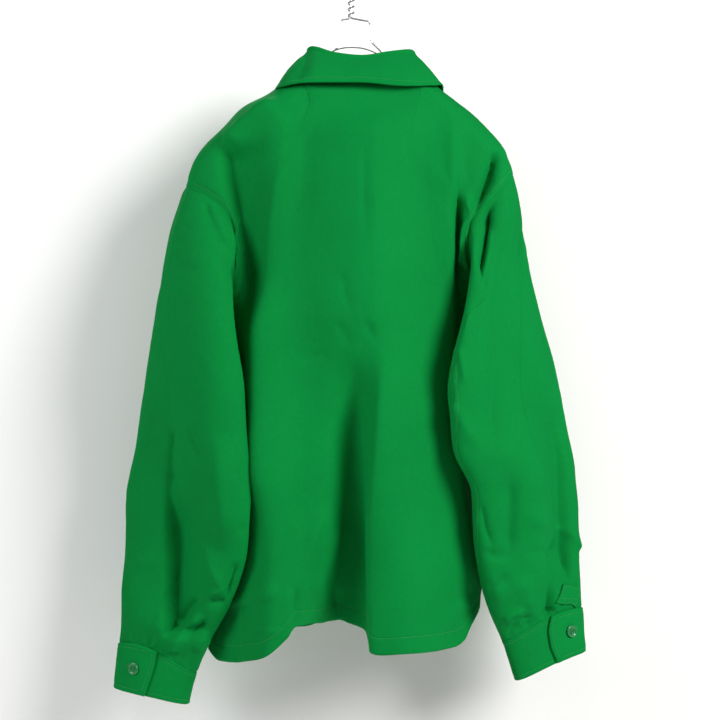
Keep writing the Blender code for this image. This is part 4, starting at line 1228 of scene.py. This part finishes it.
def make_button(side, left):
    """A four-hole button: raised rim, dished face, drilled holes, and the thread through them."""
    at, row = BUTTON_L if left else BUTTON_R
    angle = np.array([at, at + 9, at - 9, at])
    spot, one, other, foot = ring(left, angle, SLEEVE_ENDS + np.array([row, row, row, row + 0.2]))
    facing = unit(np.cross(one - other, foot - spot))
    facing = facing * np.sign(facing[1])
    seat = CUFF_WALL - WALL / 2 + CUFF_LAP - BUTTON_SINK
    place = frame_at(spot + facing * seat, one - other, facing)
    made, drill = turned_disc("resin_button_" + side, BUTTON_TURNING), drills()
    cut = made.modifiers.new("holes", "BOOLEAN")
    cut.solver = "EXACT"
    cut.object = drill
    ease_edges(made, "edges", 0.12, 2, 40)
    bpy.context.view_layer.update()
    solid = bpy.data.meshes.new_from_object(made.evaluated_get(bpy.context.evaluated_depsgraph_get()))
    made.modifiers.clear()
    made.data = solid
    solid.shade_smooth()
    made.matrix_world = place
    bpy.data.objects.remove(drill, do_unlink=True)
    settle(made, "button_" + side)
    holes, lines = np.array(BUTTON_HOLES, float), []
    t = np.linspace(-0.06, 1.06, 7)[:, None]
    rise = THREAD_LEVEL + THREAD_ARCH * np.sin(np.clip(t, 0, 1) * math.pi)
    rise = rise - THREAD_DIVE * (np.abs(t - 0.5) > 0.5)
    for a, b in ((0, 1), (3, 2)):
        for nudge in (-0.32, 0.0, 0.32):
            line = np.concatenate([lerp(holes[a], holes[b], t) + (0, nudge), rise], axis=1)
            lines.append(np.array([place @ Vector(p * MM) for p in line]) / MM)
    tube("button_thread_" + side, lines, BUTTON_THREAD_R, THREAD)


def tube(name, lines, radius, paint, sides=8):
    """Round threads along lines."""
    spin = (np.arange(sides) * TWO_PI / sides)[:, None]
    points, faces = [], []
    for line in lines:
        ahead = unit(np.gradient(line, axis=0))
        helper = (0.0, 0, 1) if abs(ahead[:, 2]).mean() < 0.8 else (1.0, 0, 0)
        across = unit(np.cross(ahead, helper))
        up = np.cross(across, ahead)
        rings = line[:, None] + radius * (across[:, None] * np.cos(spin) + up[:, None] * np.sin(spin))
        faces += barrel(len(line), sides, sum(map(len, points)))
        points.append(rings.reshape(-1, 3))
    return settle(new_piece(name, np.concatenate(points), faces, paint))


def make_buttonhole(side, left, cloth, angles):
    """Worked edges of the buttonhole that shows past the button, towards the cuff's lapping end."""
    at, row = BUTTON_L if left else BUTTON_R
    grid = cloth[0]
    row = row * (grid.shape[1] - 1)
    places = np.arange(len(angles))
    run = lengths(grid, 0)[:, round(row)]
    centre = np.interp(np.interp(360 + at, angles, places), places, run)
    lines = []
    for edge in (-1, 1):
        for step in np.arange(-9.0, 8.01, 0.42):
            i = np.interp(centre + step, run, places)
            lines.append(traced(cloth, np.full(2, i), row + edge * np.array([0.12, 0.75])))
    sew("buttonhole_" + side, lines, THREAD, pitch=9.0, thick=0.2, fill=1.0)


def make_placket(seed):
    """The square patch above the right cuff, stitched round and across."""
    across, down = np.meshgrid(np.linspace(0, 1, 24), np.linspace(0, 1, 30), indexing="ij")
    top, foot = (lerp(np.array(a), np.array(b), across[..., None]) for a, b in PLACKET)
    angle, row = np.moveaxis(lerp(top, foot, down[..., None]), -1, 0)
    grid = sleeve(False, angle, row + 1)
    facing = normals(grid, False)
    facing = facing * np.sign((facing * outward(False, angle, row)).sum(-1, keepdims=True))
    around, beyond, up, to_top = measures(grid)
    edges = np.minimum.reduce([around, beyond, up, to_top])
    high = 0.25 * uneven(around, up, 12, seed) + seam_line(edges, PATCH_STITCH, 0.8, 0.3)
    high = high + creases(CREASES_SLEEVE_BACK_R, *picture(grid))
    grid = grid + facing * (WALL / 2 + SEAM + PATCH_WALL / 2 + PATCH_LIFT + high)[..., None]
    made, cloth = shell("placket_right", grid, PATCH_WALL, TWILL, facing)
    rows = [(side, PATCH_STITCH) for side in ("first", "last", "top", "bottom")]
    rows.append(("top", PATCH_BAR))
    lines = [inset(cloth, side, far, 0.08, 0.92) for side, far in rows]
    seams = [sew("stitches_placket_right", lines, THREAD, pitch=2.4)]


def zip_surface(low, high, depth, count, rows):
    """A strip along the zip, sunk behind the face of the fronts by a depth."""
    s, v = np.meshgrid(np.linspace(low, high, count), rows, indexing="ij")
    grid = body(s, v, True) - seam_shift(v)
    facing = outward_normals(grid, False, (0, -1.0, 0))
    return grid - facing * depth, facing


def make_zip():
    """Two tapes and the closed chain, tooth by tooth."""
    rows = np.unique(np.clip(PANEL_ROWS[PANEL_ROWS < 0.999], ZIP_FOOT, None))
    for side, low, high in (("left", TAPE_S[0], TAPE_S[1]), ("right", -TAPE_S[1], -TAPE_S[0])):
        grid, _ = zip_surface(low, high, TAPE_DEPTH, 9, rows)
        made, _ = shell("zip_tape_" + side, grid, TAPE_WALL, TAPE, (0, -1.0, 0))
    grid, facing = zip_surface(-CHAIN_S, CHAIN_S, CHAIN_DEPTH, 5, np.linspace(ZIP_FOOT, CHAIN_TOP, 600))
    run = lengths(grid[2])
    count = int(run[-1] / TOOTH_PITCH)
    at = (np.arange(count) + 0.5) * run[-1] / count
    spot, up = between(run, grid[2], at), between(run, facing[2], at)
    ahead = unit(between(run, grid[2], at + 0.5) - between(run, grid[2], at - 0.5))
    across = np.cross(ahead, up) * np.where(np.arange(count) % 2, 1.0, -1.0)[:, None]
    points = []
    for grow, rise in TOOTH_LEVELS:
        for x, y in TOOTH_OUTLINE:
            points.append(spot + across * (0.5 + (x - 0.5) * (grow + 1) / 2) + ahead * y * grow + up * rise)
    corners, sides = len(points), len(TOOTH_OUTLINE)
    points = np.stack(points, axis=1).reshape(-1, 3)
    faces = [face for k in range(count) for face in barrel(len(TOOTH_LEVELS), sides, k * corners)]
    teeth = new_piece("zip_teeth", points, faces, TEETH, rounded=False)
    shape = bmesh.new()
    shape.from_mesh(teeth.data)
    bmesh.ops.recalc_face_normals(shape, faces=shape.faces)
    shape.to_mesh(teeth.data)
    shape.free()
    settle(teeth, "zip_chain")
    lines = [(grid[column] + facing[column] * 0.2, facing[column]) for column in (0, 4)]
    sew("zip_cord", lines, TAPE_THREAD, pitch=1.6, thick=0.32, fill=0.95)


def dress_hardware():
    """The slider, its tab and the hanger keep their CAD shapes, with edges eased and metal on them."""
    for node, paint, eased in (
        ("zip_slider", NICKEL, 0.35),
        ("zip_pull", NICKEL, 0.25),
        ("hanger", WIRE_STEEL, 0),
        ("hanger_brace", WIRE_STEEL, 0),
    ):
        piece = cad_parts[node]
        for place in piece.material_slots:
            place.material = paint
        if eased:
            ease_edges(piece, "eased", eased, 3, 35)


def slab(name, place, turn, paint):
    """A flat piece of the stage, turned about X."""
    mesh = bpy.data.meshes.new(name)
    mesh.from_pydata([(-3, -2.2, 0), (3, -2.2, 0), (3, 2.2, 0), (-3, 2.2, 0)], [], [(0, 1, 2, 3)])
    mesh.materials.append(paint)
    made = add_object(name, mesh)
    made.location = place
    made.rotation_euler = (turn, 0, 0)
    return made


def make_stage():
    """The backdrop just behind the jacket, the floor well below it, soft light and the camera."""
    slab("floor", (0, 0, FLOOR_Z), 0, plaster("floor_plaster", (0.86, 0.86, 0.85)))
    wall = plaster("backdrop_plaster", (0.93, 0.93, 0.92), True)
    backdrop = slab("backdrop", (0, BACKDROP_Y, 0.4), -math.pi / 2, wall)
    backdrop.visible_diffuse = False
    backdrop.visible_glossy = False
    backdrop.visible_shadow = False
    for name, spot, size, power, colour in LIGHTS:
        lamp = bpy.data.lights.new(name, "AREA")
        lamp.shape = "DISK"
        lamp.size = size
        lamp.energy = power
        lamp.color = colour
        made = add_object(name, lamp)
        made.location = spot
        made.rotation_euler = (Vector(LIGHT_AIM) - Vector(spot)).to_track_quat("-Z", "Y").to_euler()
    world = bpy.data.worlds.new("room")
    world.use_nodes = True
    world.node_tree.nodes["Background"].inputs["Color"].default_value = (1.0, 1.0, 1.0, 1)
    world.node_tree.nodes["Background"].inputs["Strength"].default_value = ROOM
    bpy.context.scene.world = world
    view = bpy.data.cameras.new("view")
    view.angle = 2 * math.atan(HALF_VIEW * PITCH / (CAMERA[1] - PLANE_Y))
    view.clip_end = 50
    camera = add_object("view", view)
    camera.location = Vector(CAMERA) * MM
    camera.rotation_euler = (math.pi / 2, 0, math.pi)
    bpy.context.scene.camera = camera
    bpy.context.scene.view_settings.view_transform = "Standard"


GREEN, SHADE = (0.0012, 0.237, 0.042), (0.0009, 0.18, 0.031)
TWILL = twill("cotton_twill", GREEN, SHADE)
THREAD = thread("sewing_thread", (0.012, 0.30, 0.06), (0.006, 0.21, 0.04))
TAPE_THREAD = thread("zip_cord_thread", (0.008, 0.22, 0.04), (0.004, 0.14, 0.025))
RESIN = resin("button_resin", (0.015, 0.22, 0.06), (0.006, 0.13, 0.035))
NICKEL = metal("satin_nickel", (0.40, 0.39, 0.37), (0.28, 0.275, 0.26), 0.38)
WIRE_STEEL = metal("hanger_steel", (0.78, 0.78, 0.79), (0.55, 0.55, 0.56), 0.3)
TAPE = tape_weave("zip_tape_weave", (0.008, 0.20, 0.035), (0.004, 0.13, 0.022))
TEETH = moulded("zip_teeth_green", (0.012, 0.20, 0.045), (0.007, 0.15, 0.032))

make_panels()
for hand, is_left, seed in (("left", True, 41), ("right", False, 53)):
    make_sleeve(hand, is_left, seed)
    cuff, cuff_angles = make_cuff(hand, is_left, seed + 6)
    make_button(hand, is_left)
    make_buttonhole(hand, is_left, cuff, cuff_angles)
make_placket(65)
make_collar()
make_zip()
dress_hardware()
make_stage()
